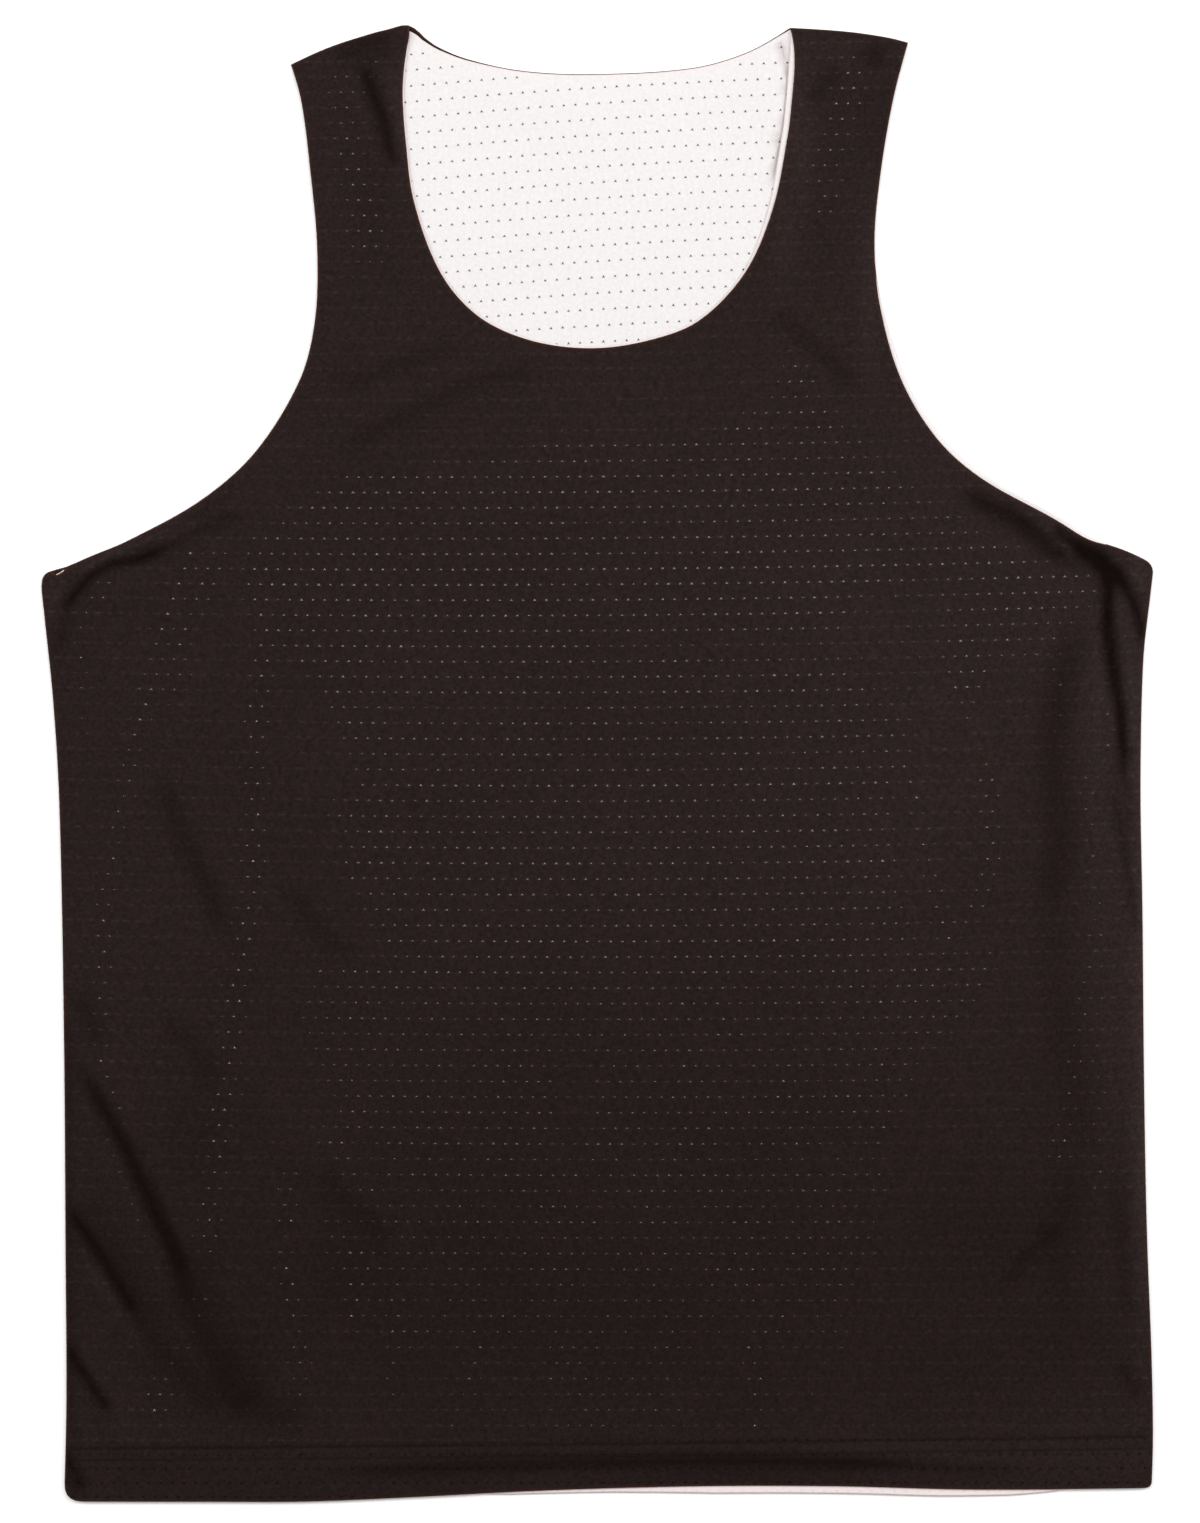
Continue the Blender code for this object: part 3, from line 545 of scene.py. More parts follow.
# ---- outline
def trace(edges):
    """The closed outline that the edges make, corners rounded, with its inward normals."""
    points, names, share = [], [], []
    for number, edge in enumerate(edges):
        path, length = smooth_path(edge.knots)
        start, total = edges[number - 1].corner, length[-1]
        free = total - start - edge.corner
        steps = max(2, round(free / EDGE_STEP))
        where = start + free * np.arange(steps + 1) / steps
        if not edge.corner:
            where = where[:-1]
        spots = list(along(path, length, where))
        shares = list(where / total)
        if edge.corner:
            following = edges[(number + 1) % len(edges)]
            after = along(*smooth_path(following.knots), np.array([edge.corner]))[0]
            before, tip = spots[-1], path[-1]
            for t in CORNER_STEPS:
                spots.append((1 - t) ** 2 * before + 2 * t * (1 - t) * tip + t**2 * after)
                shares.append(1.0)
        points.extend(spots)
        share.extend(shares)
        names.extend([edge.name] * len(spots))
    points = np.array(points)
    ahead = unit(np.roll(points, -1, axis=0) - points)
    left = np.column_stack([-ahead[:, 1], ahead[:, 0]])
    normals = unit(left + np.roll(left, 1, axis=0))
    normals /= np.maximum(LEAST_MITER, np.sum(normals * left, axis=1))[:, None]
    return Outline(points, normals, np.array(share), names)


def clear_corners(outline, inset):
    """The outline and its insets without the points whose rings would cross at a corner."""
    size = np.linalg.norm(outline.normals, axis=1)
    keep = np.ones(len(size), bool)
    for corner in np.flatnonzero(size > SHARP_CORNER):
        away = np.linalg.norm(outline.points - outline.points[corner], axis=1)
        keep &= (away > CORNER_CLEAR * (inset[corner] + RIM)) | (size > SHARP_CORNER)
    loop = outline.points + (inset + RIM)[:, None] * outline.normals
    last = 0
    for number in range(1, len(size)):
        if keep[number]:
            way = outline.points[number] - outline.points[last]
            keep[number] = (loop[number] - loop[last]) @ way > CORNER_SHRINK * (way @ way)
            last = number if keep[number] else last
    names = [name for name, kept in zip(outline.edge, keep) if kept]
    return Outline(outline.points[keep], outline.normals[keep], outline.share[keep], names), inset[keep]


def inset_of(outline, ply):
    """A ply's inset at each point of the outline."""
    value = []
    for name, share in zip(outline.edge, outline.share):
        rows = getattr(ply, name, None)
        value.append(np.interp(share, *zip(*rows)) if rows else ply.seam_inset)
    return np.array(value)


# ---- height of the cloth
def crest(fold):
    """Points along a fold's crest, and the unit vectors to its left."""
    start, end = np.array(fold.start), np.array(fold.end)
    way = end - start
    side = np.array([-way[1], way[0]]) / np.linalg.norm(way)
    t = np.linspace(0.0, 1.0, CREST_POINTS)[:, None]
    line = start + t * way + 4.0 * fold.bow * t * (1.0 - t) * side
    return line, left_of(line)


def fold_rise(fold, points):
    """How far one fold lifts the cloth at each point."""
    line, left = crest(fold)
    distance, place = near_chain(points, line)
    stations, spot = np.arange(CREST_POINTS), place * (CREST_POINTS - 1.0)
    foot, side = along(line, stations, spot), along(left, stations, spot)
    across = np.sum((points - foot) * side, axis=1)
    beyond = np.sqrt(np.maximum(0.0, distance**2 - across**2))
    width = fold.right + (fold.left - fold.right) * smooth_step(across, -CREST_BLEND, CREST_BLEND)
    taper = np.sin(math.pi * (FOLD_END + (1.0 - 2.0 * FOLD_END) * place))
    fade = 1.0 - smooth_step(beyond / (FOLD_TAIL * np.linalg.norm(line[-1] - line[0])), 0.0, 1.0)
    swell = 0.5 + 0.5 * np.cos(math.pi * np.clip(np.abs(across) / width, 0.0, 1.0))
    return fold.height * taper * fade * swell


def crease_at(crease, points, spread=1.0):
    """How strongly a crease acts at each point, from 0 to 1."""
    distance, place = near_chain(points, smooth_path(crease.points, CREASE_POINTS)[0])
    ends = smooth_step(np.minimum(place, 1.0 - place), 0.0, CREASE_ENDS)
    return np.exp(-((distance / (spread * crease.width)) ** 2)) * (CREASE_TIP + (1.0 - CREASE_TIP) * ends)


def stitch_at(row, points):
    """How strongly a row of stitches pulls the cloth in at each point, from 0 to 1."""
    away = np.abs(points[:, 1] - np.interp(points[:, 0], *zip(*STITCH_LINE)) + row.drop)
    return np.exp(-((away / row.width) ** 2))


def front_lift(points, spread, gain, most):
    """How far a front ply stands off its level."""
    seam = nearest_edge(points, FRONT_EDGES, True)
    opening = nearest_edge(points, FRONT_EDGES, False)
    loft = LOFT * smooth_step(seam, *LOFT_SEAM) * smooth_step(opening, *LOFT_OPEN)
    x, y = points[:, 0], points[:, 1]
    swell = ripple(x, y, *LOFT_RIPPLES[0]) + ripple(y, x, *LOFT_RIPPLES[1])
    loft = loft * (1.0 + LOFT_SWELL * swell)
    lift = np.zeros(len(points))
    for fold in FOLDS:
        rise = fold_rise(fold, points)
        lift = np.maximum(lift, rise) + FOLD_OVERLAP * np.minimum(lift, rise)
    lift = (lift + loft) * smooth_step(seam, *FOLD_SEAM)
    for crease in CREASES:
        if crease.depth:
            lift = lift - crease_at(crease, points, spread) * np.minimum(gain * crease.depth, most * lift)
    return lift


def creases_of(ply):
    """The creases of a ply."""
    if ply.front:
        return CREASES
    return () if ply.black else NECK_CREASES


def under_face(ply, points):
    """Height of a ply's under face."""
    edges = FRONT_EDGES if ply.front else BACK_EDGES
    seam = nearest_edge(points, edges, True)
    t = np.clip(seam / ply.seam_run, 0.0, 1.0)
    rim = nearest_edge(points, [edge for edge in edges if edge is not FRONT_NECK], False)
    rim = np.clip(rim / OPEN_RUN, 0.0, 1.0)
    level = ply.open_level + (ply.level - ply.open_level) * (1.0 - (1.0 - rim) ** 2)
    height = ply.seam_level + (level - ply.seam_level) * (1.0 - (1.0 - t) ** 2) ** ply.seam_power
    if ply.front:
        lift = front_lift(points, *(OUTER_CREASE if ply.black else LINING_CREASE))
        height += lift
        neck = from_edge(points, FRONT_NECK)
        if not ply.black:
            free = np.maximum(0.0, lift - LINING_RISE[0])
            height -= LINING_SINK * smooth_step(lift, *LINING_RISE) + LINING_SLACK * free
            height -= LINING_NECK[0] * t * (1.0 - smooth_step(neck, 0.0, LINING_NECK[1]))
        height -= NECK_DROOP * t * (1.0 - smooth_step(neck, *NECK_DROOP_RUN))
    else:
        for crease in creases_of(ply):
            free = np.maximum(0.0, height - LEAST_LEVEL)
            height -= crease_at(crease, points) * np.minimum(crease.depth, free)
    if ply is not BACK_INNER:
        for row in STITCH_ROWS:
            groove = row.groove * stitch_at(row, points) * smooth_step(seam, *GROOVE_SEAM)
            height += (-1.0 if ply.front else 1.0) * groove
    return height


def surface(ply, points):
    """Height of a ply's under face and the unit normals of its upper side."""
    height = under_face(ply, points)
    slopes = []
    for step in ((SLOPE_STEP, 0.0), (0.0, SLOPE_STEP)):
        slopes.append((under_face(ply, points + step) - height) / SLOPE_STEP)
    return height, unit(np.column_stack([-slopes[0], -slopes[1], np.ones(len(points))]))


def painted_light_of(ply, points):
    """Painted light and shade: the painted shade of the creases and stitches, and painted light and shade
    over broad areas; below 0 it lightens.
    """
    gain = np.zeros(len(points))
    if ply is BACK_INNER:
        # painted light on the white back along the right armhole, against the front edge's shade
        gain = RIM_LIGHT[0] * (1.0 - smooth_step(from_edge(points, RIGHT_ARMHOLE), *RIM_LIGHT[1:]))
    if ply is FRONT_OUTER:
        # painted light and shade over broad areas: a positive gain lightens, a negative one darkens
        for spot in LIGHT_SPOTS:
            x, y = (points[:, 0] - spot.x) / spot.wide, (points[:, 1] - spot.y) / spot.tall
            gain += spot.gain * np.exp(-(x**2) - y**2)
    return 1.0 - (1.0 - shade_of(ply, points)) * (1.0 + gain)


def shade_of(ply, points):
    """Painted shade in the cloth's creases and along its stitches: how much darker it is, as a share."""
    keep = np.ones(len(points))
    for crease in creases_of(ply):
        keep *= 1.0 - crease.shade * crease_at(crease, points)
    if ply.black:
        for row in STITCH_ROWS:
            keep *= 1.0 - row.shade * stitch_at(row, points)
    return np.minimum(1.0 - keep, SHADE_TOP)


# ---- eyelets
def row_rise(ply, x, y):
    """How far a row of eyelets runs above its own height at x."""
    if ply.front:
        low = LOW_BOW * (x - LOW_MIDDLE) ** 2 * smooth_step(-y, *LOW_START)
        fade = np.clip((y - BOW_FADE[0]) / (BOW_FADE[1] - BOW_FADE[0]), 0.0, MOST_BOW)
        return BOW * (x - BOW_MIDDLE) ** 2 * fade + low * (1.0 - smooth_step(-y, *LOW_END))
    run = np.clip(x - LEAN_START, *LEAN_RUN)
    return (LEAN[0] * run + LEAN[1] * run**2) * smooth_step(y, *LEAN_FADE)


def row_sway(ply, x, y):
    """How far the eyelets of a row sit to the right of their own places."""
    if ply.front:
        return np.interp(y, *zip(*FRONT_SWAY))
    shift, growth, low, high = BACK_SWAY
    return shift + growth * (x - LEAN_START) * smooth_step(y, low, high)


def lattice_of(ply):
    """The pitch of a ply's eyelets, the place of one of row 0, and the rows with their heights."""
    pitch, black_start, white_start, knots = FRONT_LATTICE if ply.front else BACK_LATTICE
    return pitch, black_start if ply.black else white_start, *zip(*knots)


def knit_of(ply, points):
    """Where each point is on the lattice: eyelets along its row, and rows."""
    pitch, start, rows, heights = lattice_of(ply)
    flat = points[:, 1] - row_rise(ply, points[:, 0], points[:, 1])
    v = np.interp(-flat, [-h for h in heights], rows)
    u = points[:, 0] - row_sway(ply, points[:, 0], points[:, 1])
    return np.column_stack([(u - start) / pitch, v])


def sites(ply):
    """The places of the lattice: x, y and row."""
    pitch, start, rows, heights = lattice_of(ply)
    found = []
    for row in range(rows[0], rows[-1] + 1):
        x = start + pitch * (np.arange(-ROW_HALF, ROW_HALF + 1) + 0.5 * (row % 2))
        level = np.full(len(x), np.interp(row, rows, heights))
        y = level + row_rise(ply, x, level)
        found.append(np.column_stack([x + row_sway(ply, x, level), y, np.full(len(x), row)]))
    return np.vstack(found)


def blob(patch, points):
    """How far a point is inside a patch, from 0 to 1."""
    away = near_loop(points, patch.points)
    away = np.where(inside_loop(points, patch.points), away, -away)
    return smooth_step(away, -0.5 * patch.soft, 0.5 * patch.soft)


def gape_of(places, rng):
    """How wide each eyelet of the front is, from 0 to 1."""
    points, rows = places[:, :2], places[:, 2].astype(int)
    gape = np.zeros(len(points))
    for patch in PATCHES:
        gape = np.maximum(gape, patch.gape * blob(patch, points))
    for patch in DIM_PATCHES:
        share = blob(patch, points)
        gape = gape * (1.0 - share) + np.minimum(gape, patch.gape) * share
    for band in BANDS:
        away = near_chain(points, band.points)[0]
        gape = np.maximum(gape, band.gape * np.exp(-((away / band.width) ** 2)))
    row_gain = rng.normal(0.0, ROW_SPREAD, ROW_COUNT)
    for row in BRIGHT_ROWS:
        row_gain[row + ROW_ABOVE] += BRIGHT_ROW_GAIN
    x, y = points[:, 0], points[:, 1]
    grain = ripple(x, y, *GRAIN_RIPPLE) * np.sin(y / GRAIN_WAVE)
    gain = row_gain[rows + ROW_ABOVE] + rng.normal(0.0, EYELET_SPREAD, len(points))
    gain += GRAIN_GAIN * smooth_step(-y, *GRAIN_FADE) * grain
    gape = gape * np.clip(1.0 + gain, 0.0, MOST_GAIN)
    gape *= 1.0 - shade_of(FRONT_OUTER, points)
    near = np.minimum(nearest_edge(points, FRONT_EDGES, True), nearest_edge(points, FRONT_EDGES, False))
    return np.clip(GAPE_GAIN * gape * smooth_step(near, *GAPE_SEAM), 0.0, MOST_GAPE)


def eyelet_shapes(ply, places):
    """Width, height and notch of each eyelet."""
    rng = np.random.default_rng(SEED + len(ply.name))
    if ply is FRONT_OUTER:
        gape = gape_of(places, rng)
        width = EYELET_WIDTH[0] + (EYELET_WIDTH[1] - EYELET_WIDTH[0]) * gape
        height = EYELET_HEIGHT[0] + (EYELET_HEIGHT[1] - EYELET_HEIGHT[0]) * gape
        return width, height, EYELET_NOTCH * height
    spread = 1.0 + rng.normal(0.0, CARET_SPREAD, (2, len(places)))
    scale = BLACK_CARET if ply.black else 1.0
    return scale * CARET[0] * spread[0], scale * CARET[1] * spread[1], scale * CARET[2] * spread[1]


def hem_band(points):
    """Whether each point is in the turned hem."""
    return points[:, 1] < np.interp(points[:, 0], *zip(*HEM.knots)) + HEM_DEPTH + STITCH_MARGIN


def cut_eyelets(ply, loop):
    """The lattice's places in the loop, and the middle and the four corners of each eyelet that is cut."""
    places = sites(ply)
    places = places[inside_loop(places, loop)]
    margin = EYELET_MARGIN if ply.black else LINING_MARGIN
    centres = places[(near_loop(places, loop) > margin) & ~hem_band(places)]
    width, height, notch = eyelet_shapes(ply, centres)
    x, feet = centres[:, 0], centres[:, 1] - 0.5 * height
    corners = ((x - 0.5 * width, feet), (x, feet + notch), (x + 0.5 * width, feet), (x, feet + height))
    return places, centres[:, :2], np.stack([np.column_stack(corner) for corner in corners], axis=1)


# ---- points between the eyelets
def rows_along(line, offsets, step):
    """Points along a line and beside it."""
    path, length = smooth_path(line, ROW_POINTS)
    spots = along(path, length, np.linspace(0.0, length[-1], max(3, round(length[-1] / step))))
    left = left_of(spots)
    return [spots + offset * left for offset in offsets]


def fold_rows(fold):
    """Points along a steep fold, on its crest and both its slopes."""
    line, left = crest(fold)
    length = smooth_path(line)[1][-1]
    stations = np.linspace(0, CREST_POINTS - 1, max(3, round(length / FOLD_STEP)))
    besides = [line + share * (fold.left if share > 0 else fold.right) * left for share in FOLD_ROWS]
    return [along(beside, np.arange(CREST_POINTS), stations) for beside in besides]


def fill_points(ply, loop, places, centres, corners):
    """Points that carry the folds and creases between the eyelets."""
    found = []
    if ply is not BACK_INNER:
        for row in STITCH_ROWS:
            found.extend(rows_along(stitch_line(row), (0.0, FINE_OFFSET, -FINE_OFFSET), STITCH_PITCH))
    found.extend([places[:, :2] + BETWEEN_ROWS, places[hem_band(places)][:, :2]])
    if ply.front:
        for fold in FOLDS:
            if fold.height > STEEP_FOLD * min(fold.left, fold.right):
                found.extend(fold_rows(fold))
    for crease in creases_of(ply):
        if not ply.front:
            found = rows_along(crease.points, (0.0, -FINE_OFFSET, FINE_OFFSET), FINE_STEP) + found
        elif crease.depth > DEEP_CREASE:
            beside = CREASE_BESIDE * crease.width
            found.extend(rows_along(crease.points, (0.0, -beside, beside), CREASE_STEP))
    points = np.vstack(found)
    points = points[inside_loop(points, loop)]
    points = points[near_loop(points, loop) > EDGE_CLEAR]
    return thin_out(points, np.vstack([centres, corners[:, 0], corners[:, 2]]), POINT_SPACING)


def thin_out(points, fixed, spacing):
    """The points that are further than spacing from each other and from the fixed ones."""
    cells = {}
    for spot in map(tuple, fixed):
        cells.setdefault((int(spot[0] // spacing), int(spot[1] // spacing)), []).append(spot)
    kept = []
    for number, (x, y) in enumerate(points):
        column, line = int(x // spacing), int(y // spacing)
        near = [s for i in (-1, 0, 1) for j in (-1, 0, 1) for s in cells.get((column + i, line + j), ())]
        if all((x - a) ** 2 + (y - b) ** 2 > spacing**2 for a, b in near):
            cells.setdefault((column, line), []).append((x, y))
            kept.append(number)
    return points[kept]


# ---- shells
def triangulate(loop, extra, corners):
    """The triangles between the loop, the extra points and the eyelets' corners, the eyelets left open."""
    first = len(loop) + len(extra)
    points = [tuple(p) for p in np.vstack([loop, extra, corners.reshape(-1, 2)])]
    cuts = [(first + 4 * k + a, first + 4 * k + b) for k in range(len(corners)) for a, b in EYELET_SIDES]
    around = [list(range(len(loop)))]
    made, _, faces, origin, _, _ = delaunay_2d_cdt(points, cuts, around, INSIDE_ONLY, SAME_PLACE)
    if len(made) != len(points):
        raise ValueError("the cut lines cross")
    triangles = np.array([o[0] for o in origin])[np.array(faces)]
    hole = np.where(triangles >= first, (triangles - first) // 4, -1 - triangles)
    apex = (triangles >= first) & ((triangles - first) % 4 == 3)
    in_hole = (hole[:, 0] == hole[:, 1]) & (hole[:, 1] == hole[:, 2]) & apex.any(axis=1)
    return triangles[~in_hole]


def edge_rings(ply, outline, inset):
    """The rings round a ply's edge: their places, normals and flat places."""
    spots, normals, flats = [], [], []
    out = np.column_stack([-outline.normals, np.zeros(len(inset))])
    for ring in EDGE_RINGS:
        flat = outline.points + (inset + ring.inset)[:, None] * outline.normals
        base, up = surface(ply, flat)
        spots.append(np.column_stack([flat, base + ring.rise * PLY]))
        normals.append(unit(ring.up * up + math.sqrt(1.0 - ring.up**2) * out))
        flats.append(flat)
    return spots, normals, flats


def shell_faces(count, extra, eyelets, triangles):
    """The faces of the edge, the upper and the under side, and the walls of the eyelets."""
    levels = len(EDGE_RINGS)
    under = levels * count
    over = under + extra + 4 * eyelets
    here = np.arange(count)
    bands = []
    for level in range(levels - 1):
        a, b = level * count + here, level * count + np.roll(here, -1)
        bands.append(np.column_stack([a, b, b + count]))
        bands.append(np.column_stack([a, b + count, a + count]))
    top = np.where(triangles < count, (levels - 1) * count + triangles, over + triangles - count)
    bottom = np.where(triangles < count, triangles, under + triangles - count)[:, ::-1]
    walls = []
    corner = extra + 4 * np.arange(eyelets)
    for start, end in EYELET_SIDES:
        a, b = corner + start, corner + end
        walls.append(np.column_stack([over + a, over + b, under + b]))
        walls.append(np.column_stack([over + a, under + b, under + a]))
    walls = np.vstack(walls)
    upper_side = np.concatenate([
        np.repeat(np.arange(levels - 1) >= levels // 2, 2 * count),
        np.ones(len(top), bool), np.zeros(len(bottom), bool), np.ones(len(walls), bool)])
    return np.vstack(bands + [top, bottom, walls]), walls, upper_side


def fill(items, key, values, kind=np.float32):
    """Writes one value to each item of a mesh."""
    items.foreach_set(key, np.asarray(values, kind).ravel())


def mesh_of(name, spots, faces):
    """A mesh of triangles."""
    mesh = bpy.data.meshes.new(name)
    mesh.vertices.add(len(spots))
    fill(mesh.vertices, "co", MM * spots)
    mesh.loops.add(faces.size)
    fill(mesh.loops, "vertex_index", faces, np.int32)
    mesh.polygons.add(len(faces))
    fill(mesh.polygons, "loop_start", np.arange(0, faces.size, 3), np.int32)
    mesh.update(calc_edges=True)
    mesh.validate()
    mesh.shade_smooth()
    return mesh


def layout(flat, faces, upper_side):
    """Places on the texture's plane, the upper side on the left half and the under side on the right."""
    low, high = flat.min(axis=0), flat.max(axis=0)
    place = ((flat - low) / (high - low).max())[faces]
    start = np.where(upper_side, UV_MARGIN, 0.5 + UV_MARGIN)[:, None]
    across = start + (0.5 - 2 * UV_MARGIN) * place[:, :, 0]
    return np.stack([across, UV_MARGIN + (1.0 - 2 * UV_MARGIN) * place[:, :, 1]], axis=2)


def edge_light_of(ply, flat, count):
    """How much each point shows the painted edge colour: painted edge light along the rings, and the
    painted reflected tint of the white back's hem.
    """
    tint = np.zeros(len(flat))
    # painted reflected warm tint along the white back's hem
    if ply is BACK_INNER:
        tint = HEM_REFLECTION[0] * (1.0 - smooth_step(from_edge(flat, HEM), *HEM_REFLECTION[1:]))
    for level, ring in enumerate(EDGE_RINGS):
        band = slice(level * count, (level + 1) * count)
        tint[band] = np.maximum(tint[band], 1.0 - ring.inset / EDGE_LIGHT_BAND)
    return tint


def add(name, data):
    """A new object of the scene."""
    made = bpy.data.objects.new(name, data)
    bpy.context.scene.collection.objects.link(made)
    return made


def make_shell(ply, material):
    """A ply as one closed shell of cloth, with its eyelets cut through."""
    outline = trace(FRONT_EDGES if ply.front else BACK_EDGES)
    outline, inset = clear_corners(outline, inset_of(outline, ply))
    loop = outline.points + (inset + RIM)[:, None] * outline.normals
    places, centres, corners = cut_eyelets(ply, loop)
    extra = fill_points(ply, loop, places, centres, corners)
    triangles = triangulate(loop, extra, corners)
    faces, walls, upper_side = shell_faces(len(loop), len(extra), len(corners), triangles)

    inside = np.vstack([extra, corners.reshape(-1, 2)])
    base, up = surface(ply, inside)
    rings, ring_normals, ring_flats = edge_rings(ply, outline, inset)
    spots = np.vstack(rings + [np.column_stack([inside, base]), np.column_stack([inside, base + PLY])])
    flat = np.vstack(ring_flats + [inside, inside])
    normals = np.vstack(ring_normals + [-up, up])[faces]
    side = np.cross(spots[walls[:, 1]] - spots[walls[:, 0]], spots[walls[:, 2]] - spots[walls[:, 0]])
    normals[-len(walls):] = unit(side)[:, None, :]

    mesh = mesh_of(ply.name + "_cloth", spots, faces)
    mesh.normals_split_custom_set(normals.reshape(-1, 3).astype(np.float32))
    fill(mesh.uv_layers.new(name="OFBake").data, "uv", layout(flat, faces, upper_side))
    knit = np.column_stack([knit_of(ply, flat), hem_band(flat)])
    fill(mesh.attributes.new("knit", "FLOAT_VECTOR", "POINT").data, "vector", knit)
    # painted light and shade, from the creases, stitches and broad areas
    fill(mesh.attributes.new("pinch", "FLOAT", "POINT").data, "value", painted_light_of(ply, flat))
    # edge: painted light and shade along the edges, and the painted reflected tint of the white back's hem
    fill(mesh.attributes.new("edge", "FLOAT", "POINT").data, "value", edge_light_of(ply, flat, len(loop)))
    mesh.materials.append(material)
    piece = add(ply.name + "_ply", mesh)
    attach(piece, "root")
    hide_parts(ply.name)
    return piece


def stitch_line(row):
    """The line of a row of hem stitches."""
    return [(x, y - row.drop) for x, y in STITCH_LINE]


def make_stitches(ply, material):
    """The twin rows of hem stitches of an outer ply."""
    spots, faces = [], []
    turn = np.linspace(0.0, 2.0 * math.pi, THREAD_SIDES, endpoint=False)
    half = 0.5 * (STITCH_PITCH - STITCH_GAP)
    sign = 1.0 if ply.front else -1.0
    last = (len(STITCH_PROFILE) - 1) * THREAD_SIDES
    for row in STITCH_ROWS:
        path, length = smooth_path(stitch_line(row))
        centres = along(path, length, np.arange(0.5 * STITCH_PITCH, length[-1], STITCH_PITCH))
        height = under_face(ply, centres) + (PLY if ply.front else 0.0)
        for (x, y), z in zip(centres, height):
            first = len(spots)
            for run, swell, rise in STITCH_PROFILE:
                radius, middle = THREAD * swell, z + sign * (STITCH_SEAT + rise) * THREAD
                for a in turn:
                    spots.append((x + run * half, y + radius * math.cos(a), middle + radius * math.sin(a)))
            for level in range(first, first + last, THREAD_SIDES):
                for k in range(THREAD_SIDES):
                    a, b = level + k, level + (k + 1) % THREAD_SIDES
                    faces.append((a + THREAD_SIDES, b + THREAD_SIDES, b, a))
            faces.append(tuple(range(first, first + THREAD_SIDES)))
            faces.append(tuple(reversed(range(first + last, first + last + THREAD_SIDES))))
    mesh = bpy.data.meshes.new(ply.name + "_hem_thread")
    mesh.from_pydata([tuple(MM * c for c in spot) for spot in spots], [], faces)
    mesh.shade_smooth()
    mesh.materials.append(material)
    piece = add(ply.name + "_hem_stitches", mesh)
    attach(piece, "root")
    return piece


# ---- materials
class Nodes:
    """Builds a material's nodes."""

    def __init__(self, name):
        self.material = bpy.data.materials.new(name)
        self.material.use_nodes = True
        self.tree = self.material.node_tree
        self.shader = self.tree.nodes["Principled BSDF"]

    def put(self, value, socket):
        if hasattr(value, "is_output"):
            self.tree.links.new(value, socket)
        else:
            socket.default_value = value

    def node(self, kind, *values, **settings):
        made = self.tree.nodes.new(kind)
        for key, value in settings.items():
            setattr(made, key, value)
        for socket, value in zip(made.inputs, values):
            self.put(value, socket)
        return made

    def named(self, kind, **values):
        """The first output of a node whose inputs are set by name."""
        made = self.tree.nodes.new(kind)
        for name, value in values.items():
            self.put(value, made.inputs[name])
        return made.outputs[0]

    def math(self, operation, *values):
        return self.node("ShaderNodeMath", *values, operation=operation).outputs[0]

    def times(self, value, *others):
        for other in others:
            value = self.math("MULTIPLY", value, other)
        return value

    def line(self, value, slope, base):
        return self.math("MULTIPLY_ADD", value, slope, base)

    def about_one(self, value, swing):
        """1, give or take half the swing, for a value from 0 to 1."""
        return self.line(value, swing, 1.0 - 0.5 * swing)

    def attribute(self, name, output="Fac"):
        return self.node("ShaderNodeAttribute", attribute_name=name).outputs[output]

    def ramp(self, value, low, high):
        """0 at low, 1 at high, smooth between them."""
        made = self.node("ShaderNodeMapRange", value, low, high, 0.0, 1.0, interpolation_type="SMOOTHSTEP")
        return made.outputs[0]

    def spot(self, along_row, across_rows, sizes):
        """1 near the middle of a place of the lattice, 0 away from it."""
        return self.times(self.ramp(along_row, *sizes[0]), self.ramp(across_rows, *sizes[1]))

    def mix(self, share, first, second, blend="MIX"):
        made = self.node("ShaderNodeMix", data_type="RGBA", blend_type=blend)
        self.put(share, made.inputs["Factor"])
        colours = [socket for socket in made.inputs if socket.type == "RGBA"]
        for socket, value in zip(colours, (first, second)):
            self.put((*value, 1.0) if isinstance(value, tuple) else value, socket)
        return [socket for socket in made.outputs if socket.type == "RGBA"][0]

    def noise(self, scale, detail, rough=0.5):
        where = self.node("ShaderNodeTexCoord").outputs["Object"]
        return self.named("ShaderNodeTexNoise", Vector=where, Scale=scale, Detail=detail, Roughness=rough)

    def finish(self, colour, rough, specular):
        """Puts what the surface looks like on the shader."""
        for name, value in (("Base Color", colour), ("Roughness", rough), ("Specular IOR Level", specular)):
            self.put(value, self.shader.inputs[name])
        return self.material

    def raised(self, height, strength, distance):
        """Raises the surface by a height."""
        bump = self.named("ShaderNodeBump", Height=height, Strength=strength, Distance=distance)
        self.put(bump, self.shader.inputs["Normal"])


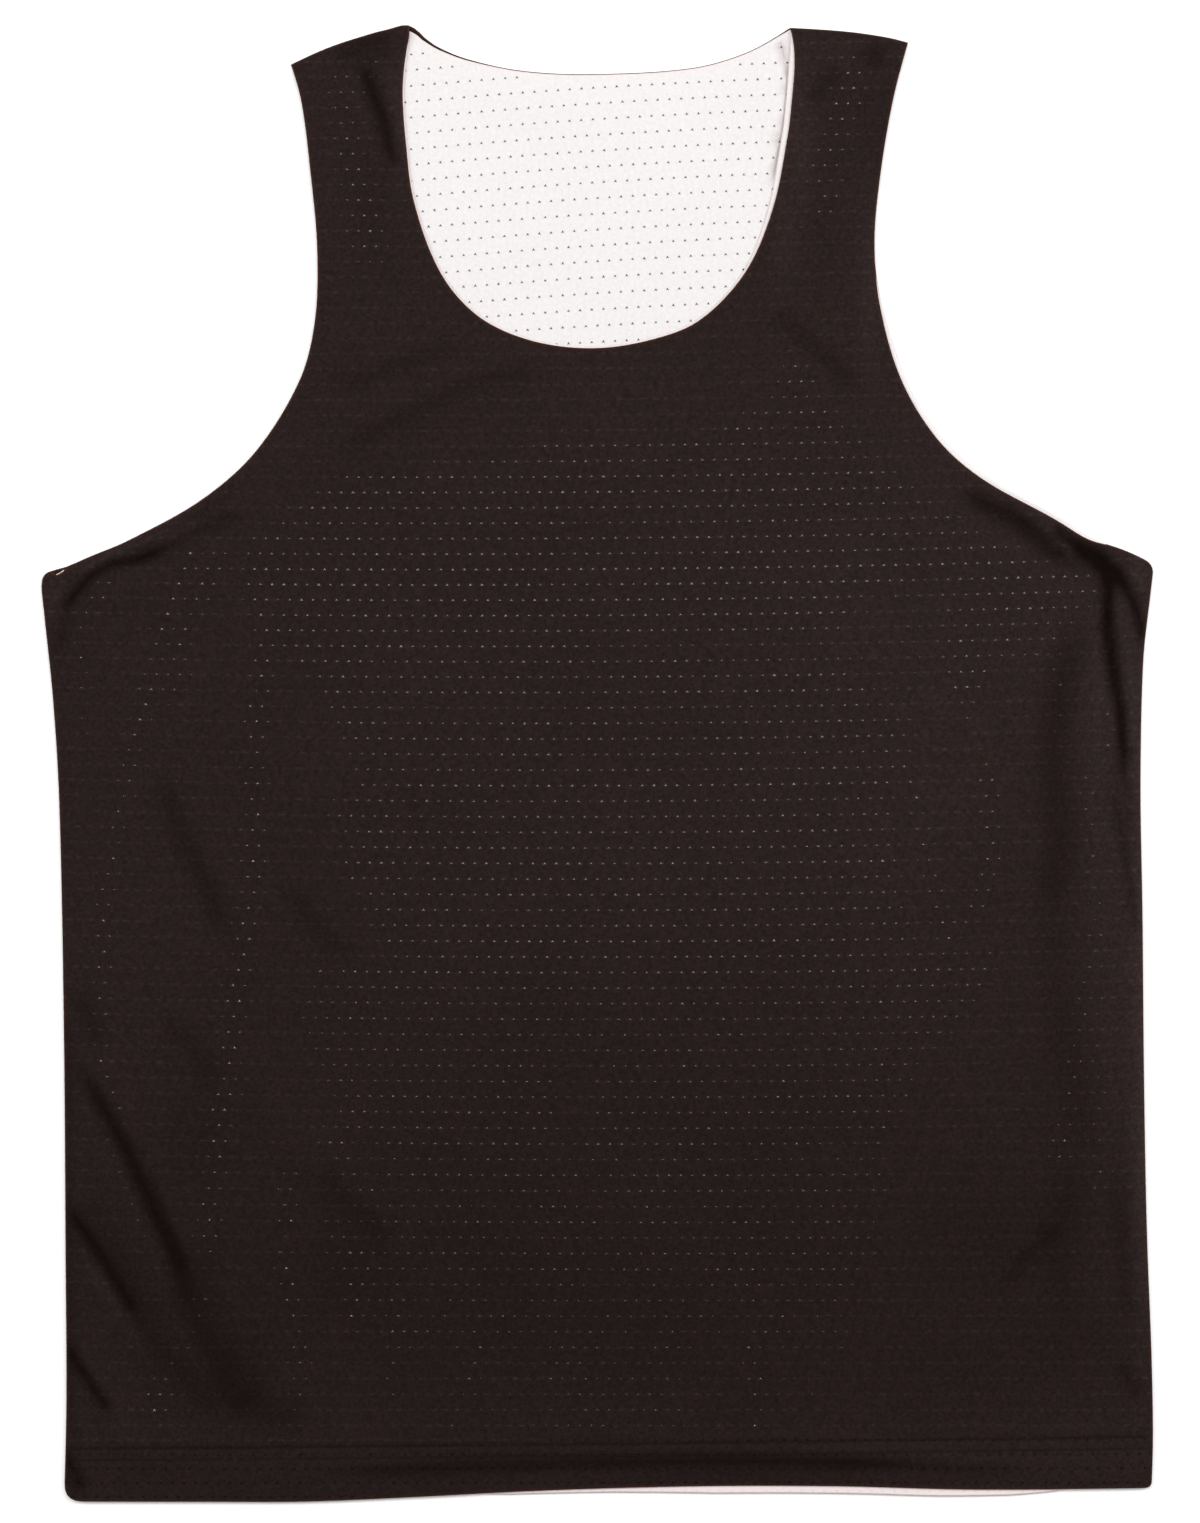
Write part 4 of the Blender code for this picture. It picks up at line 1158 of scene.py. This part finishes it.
def cloth(name, look):
    """Knitted mesh: ribs and courses, faint dashes along the rows of eyelets, mottling, painted edge light
    and painted light and shade.
    """
    n = Nodes(name)
    u, v, in_hem = n.node("ShaderNodeSeparateXYZ", n.attribute("knit", "Vector")).outputs
    wave_u = n.math("SINE", n.times(u, 2.0 * math.pi * WALES))
    wave_v = n.math("SINE", n.times(v, 2.0 * math.pi * COURSES))
    ribs = n.line(wave_u, 0.5, 0.5)
    loops = n.times(n.math("ABSOLUTE", wave_v), ribs)

    row = n.math("ROUND", v)
    shifted = n.math("SUBTRACT", u, n.times(n.math("PINGPONG", row, 1.0), 0.5))
    off_u = n.math("ABSOLUTE", n.math("SUBTRACT", shifted, n.math("ROUND", shifted)))
    off_v = n.math("ABSOLUTE", n.math("SUBTRACT", v, row))
    dashes = n.spot(off_u, off_v, DASH)
    holes = n.times(n.spot(off_u, off_v, CLOSED_EYELET), in_hem)

    grain = n.noise(*GRAIN)
    fade = n.times(dashes, n.line(n.noise(*DASH_NOISE), DASH_SWING, look.dash_share - 0.5 * DASH_SWING))
    fade = n.times(n.math("MAXIMUM", fade, 0.0), n.math("SUBTRACT", 1.0, in_hem))
    colour = n.mix(n.ramp(n.noise(*MOTTLE), *MOTTLE_RANGE), look.warm, look.cool)
    colour = n.mix(fade, colour, look.dash)
    lightness = n.times(
        n.about_one(grain, look.mottling), n.about_one(n.noise(*BROAD), BROAD_SHARE * look.mottling),
        n.about_one(ribs, RIB_SHADE), n.line(holes, -look.hole_shade, 1.0))
    # painted light and shade darken or lighten the colour, channel by channel
    painted_channels = [n.times(lightness, n.line(n.attribute("pinch"), -tint, 1.0)) for tint in PAINTED_LIGHT_TINT]
    colour = n.mix(1.0, colour, n.node("ShaderNodeCombineColor", *painted_channels).outputs[0], "MULTIPLY")
    # painted edge light: lighter and reddish along the black cloth's edges, painted shade along the white's
    edge_light = n.times(n.attribute("edge"), n.line(n.noise(*EDGE_LIGHT_NOISE), *EDGE_LIGHT_SWING))

    relief = n.math("ADD", n.times(loops, LOOP_RELIEF), n.times(grain, GRAIN_RELIEF))
    relief = n.math("SUBTRACT", relief, n.times(dashes, DASH_RELIEF))
    n.raised(relief, look.bump, CLOTH_RELIEF)
    return n.finish(n.mix(edge_light, colour, look.edge), n.line(grain, *ROUGHNESS), look.specular)


def thread_look():
    """Spun polyester thread."""
    n = Nodes("stitch_thread")
    twist = n.noise(*TWIST)
    n.raised(twist, *THREAD_BUMP)
    return n.finish(n.mix(twist, THREAD_DARK, THREAD_LIGHT), THREAD_ROUGH, THREAD_SPECULAR)


def floor_look():
    """Plain pale paper."""
    return Nodes("floor_paper").finish((*FLOOR_COLOUR, 1.0), FLOOR_ROUGH, FLOOR_SPECULAR)


# ---- stage
def make_floor():
    """The paper that the jersey lies on."""
    mesh = bpy.data.meshes.new("floor")
    sheet = [(x * FLOOR_HALF, y * FLOOR_HALF, FLOOR_LEVEL) for x, y in ((-1, -1), (1, -1), (1, 1), (-1, 1))]
    mesh.from_pydata(sheet, [], [(0, 1, 2, 3)])
    mesh.materials.append(floor_look())
    add("floor", mesh)


def light_stage():
    """The lamps, each turned to the jersey, and the sky."""
    for lamp in LAMPS:
        light = bpy.data.lights.new(lamp.name, "AREA")
        light.energy = lamp.power
        light.shape = "SQUARE"
        light.size = lamp.size
        piece = add(lamp.name, light)
        piece.location = lamp.place
        piece.rotation_mode = "QUATERNION"
        piece.rotation_quaternion = (-Vector(lamp.place)).to_track_quat("-Z", "Y")
    world = bpy.data.worlds.new("studio")
    world.use_nodes = True
    sky = world.node_tree.nodes["Background"].inputs
    sky["Color"].default_value = (1.0, 1.0, 1.0, 1.0)
    sky["Strength"].default_value = SKY
    bpy.context.scene.world = world


def place_camera():
    """The photo's view: straight down, from a long way up."""
    view = bpy.data.cameras.new("camera")
    view.sensor_fit = "VERTICAL"
    view.sensor_height = CAMERA_SENSOR
    view.lens = CAMERA_LENS
    camera = add("camera", view)
    distance = VIEW_HEIGHT * CAMERA_LENS / CAMERA_SENSOR
    camera.location = (VIEW_CENTRE[0], VIEW_CENTRE[1], VIEW_CENTRE[2] + distance)
    bpy.context.scene.camera = camera
    bpy.context.scene.view_settings.view_transform = "Standard"


black = cloth("black_knit", BLACK_LOOK)
white = cloth("white_knit", WHITE_LOOK)
thread = thread_look()
plies = {ply.name: make_shell(ply, black if ply.black else white) for ply in PLIES}
stitches = {ply.name: make_stitches(ply, thread) for ply in PLIES if ply.black}

make_floor()
light_stage()
place_camera()
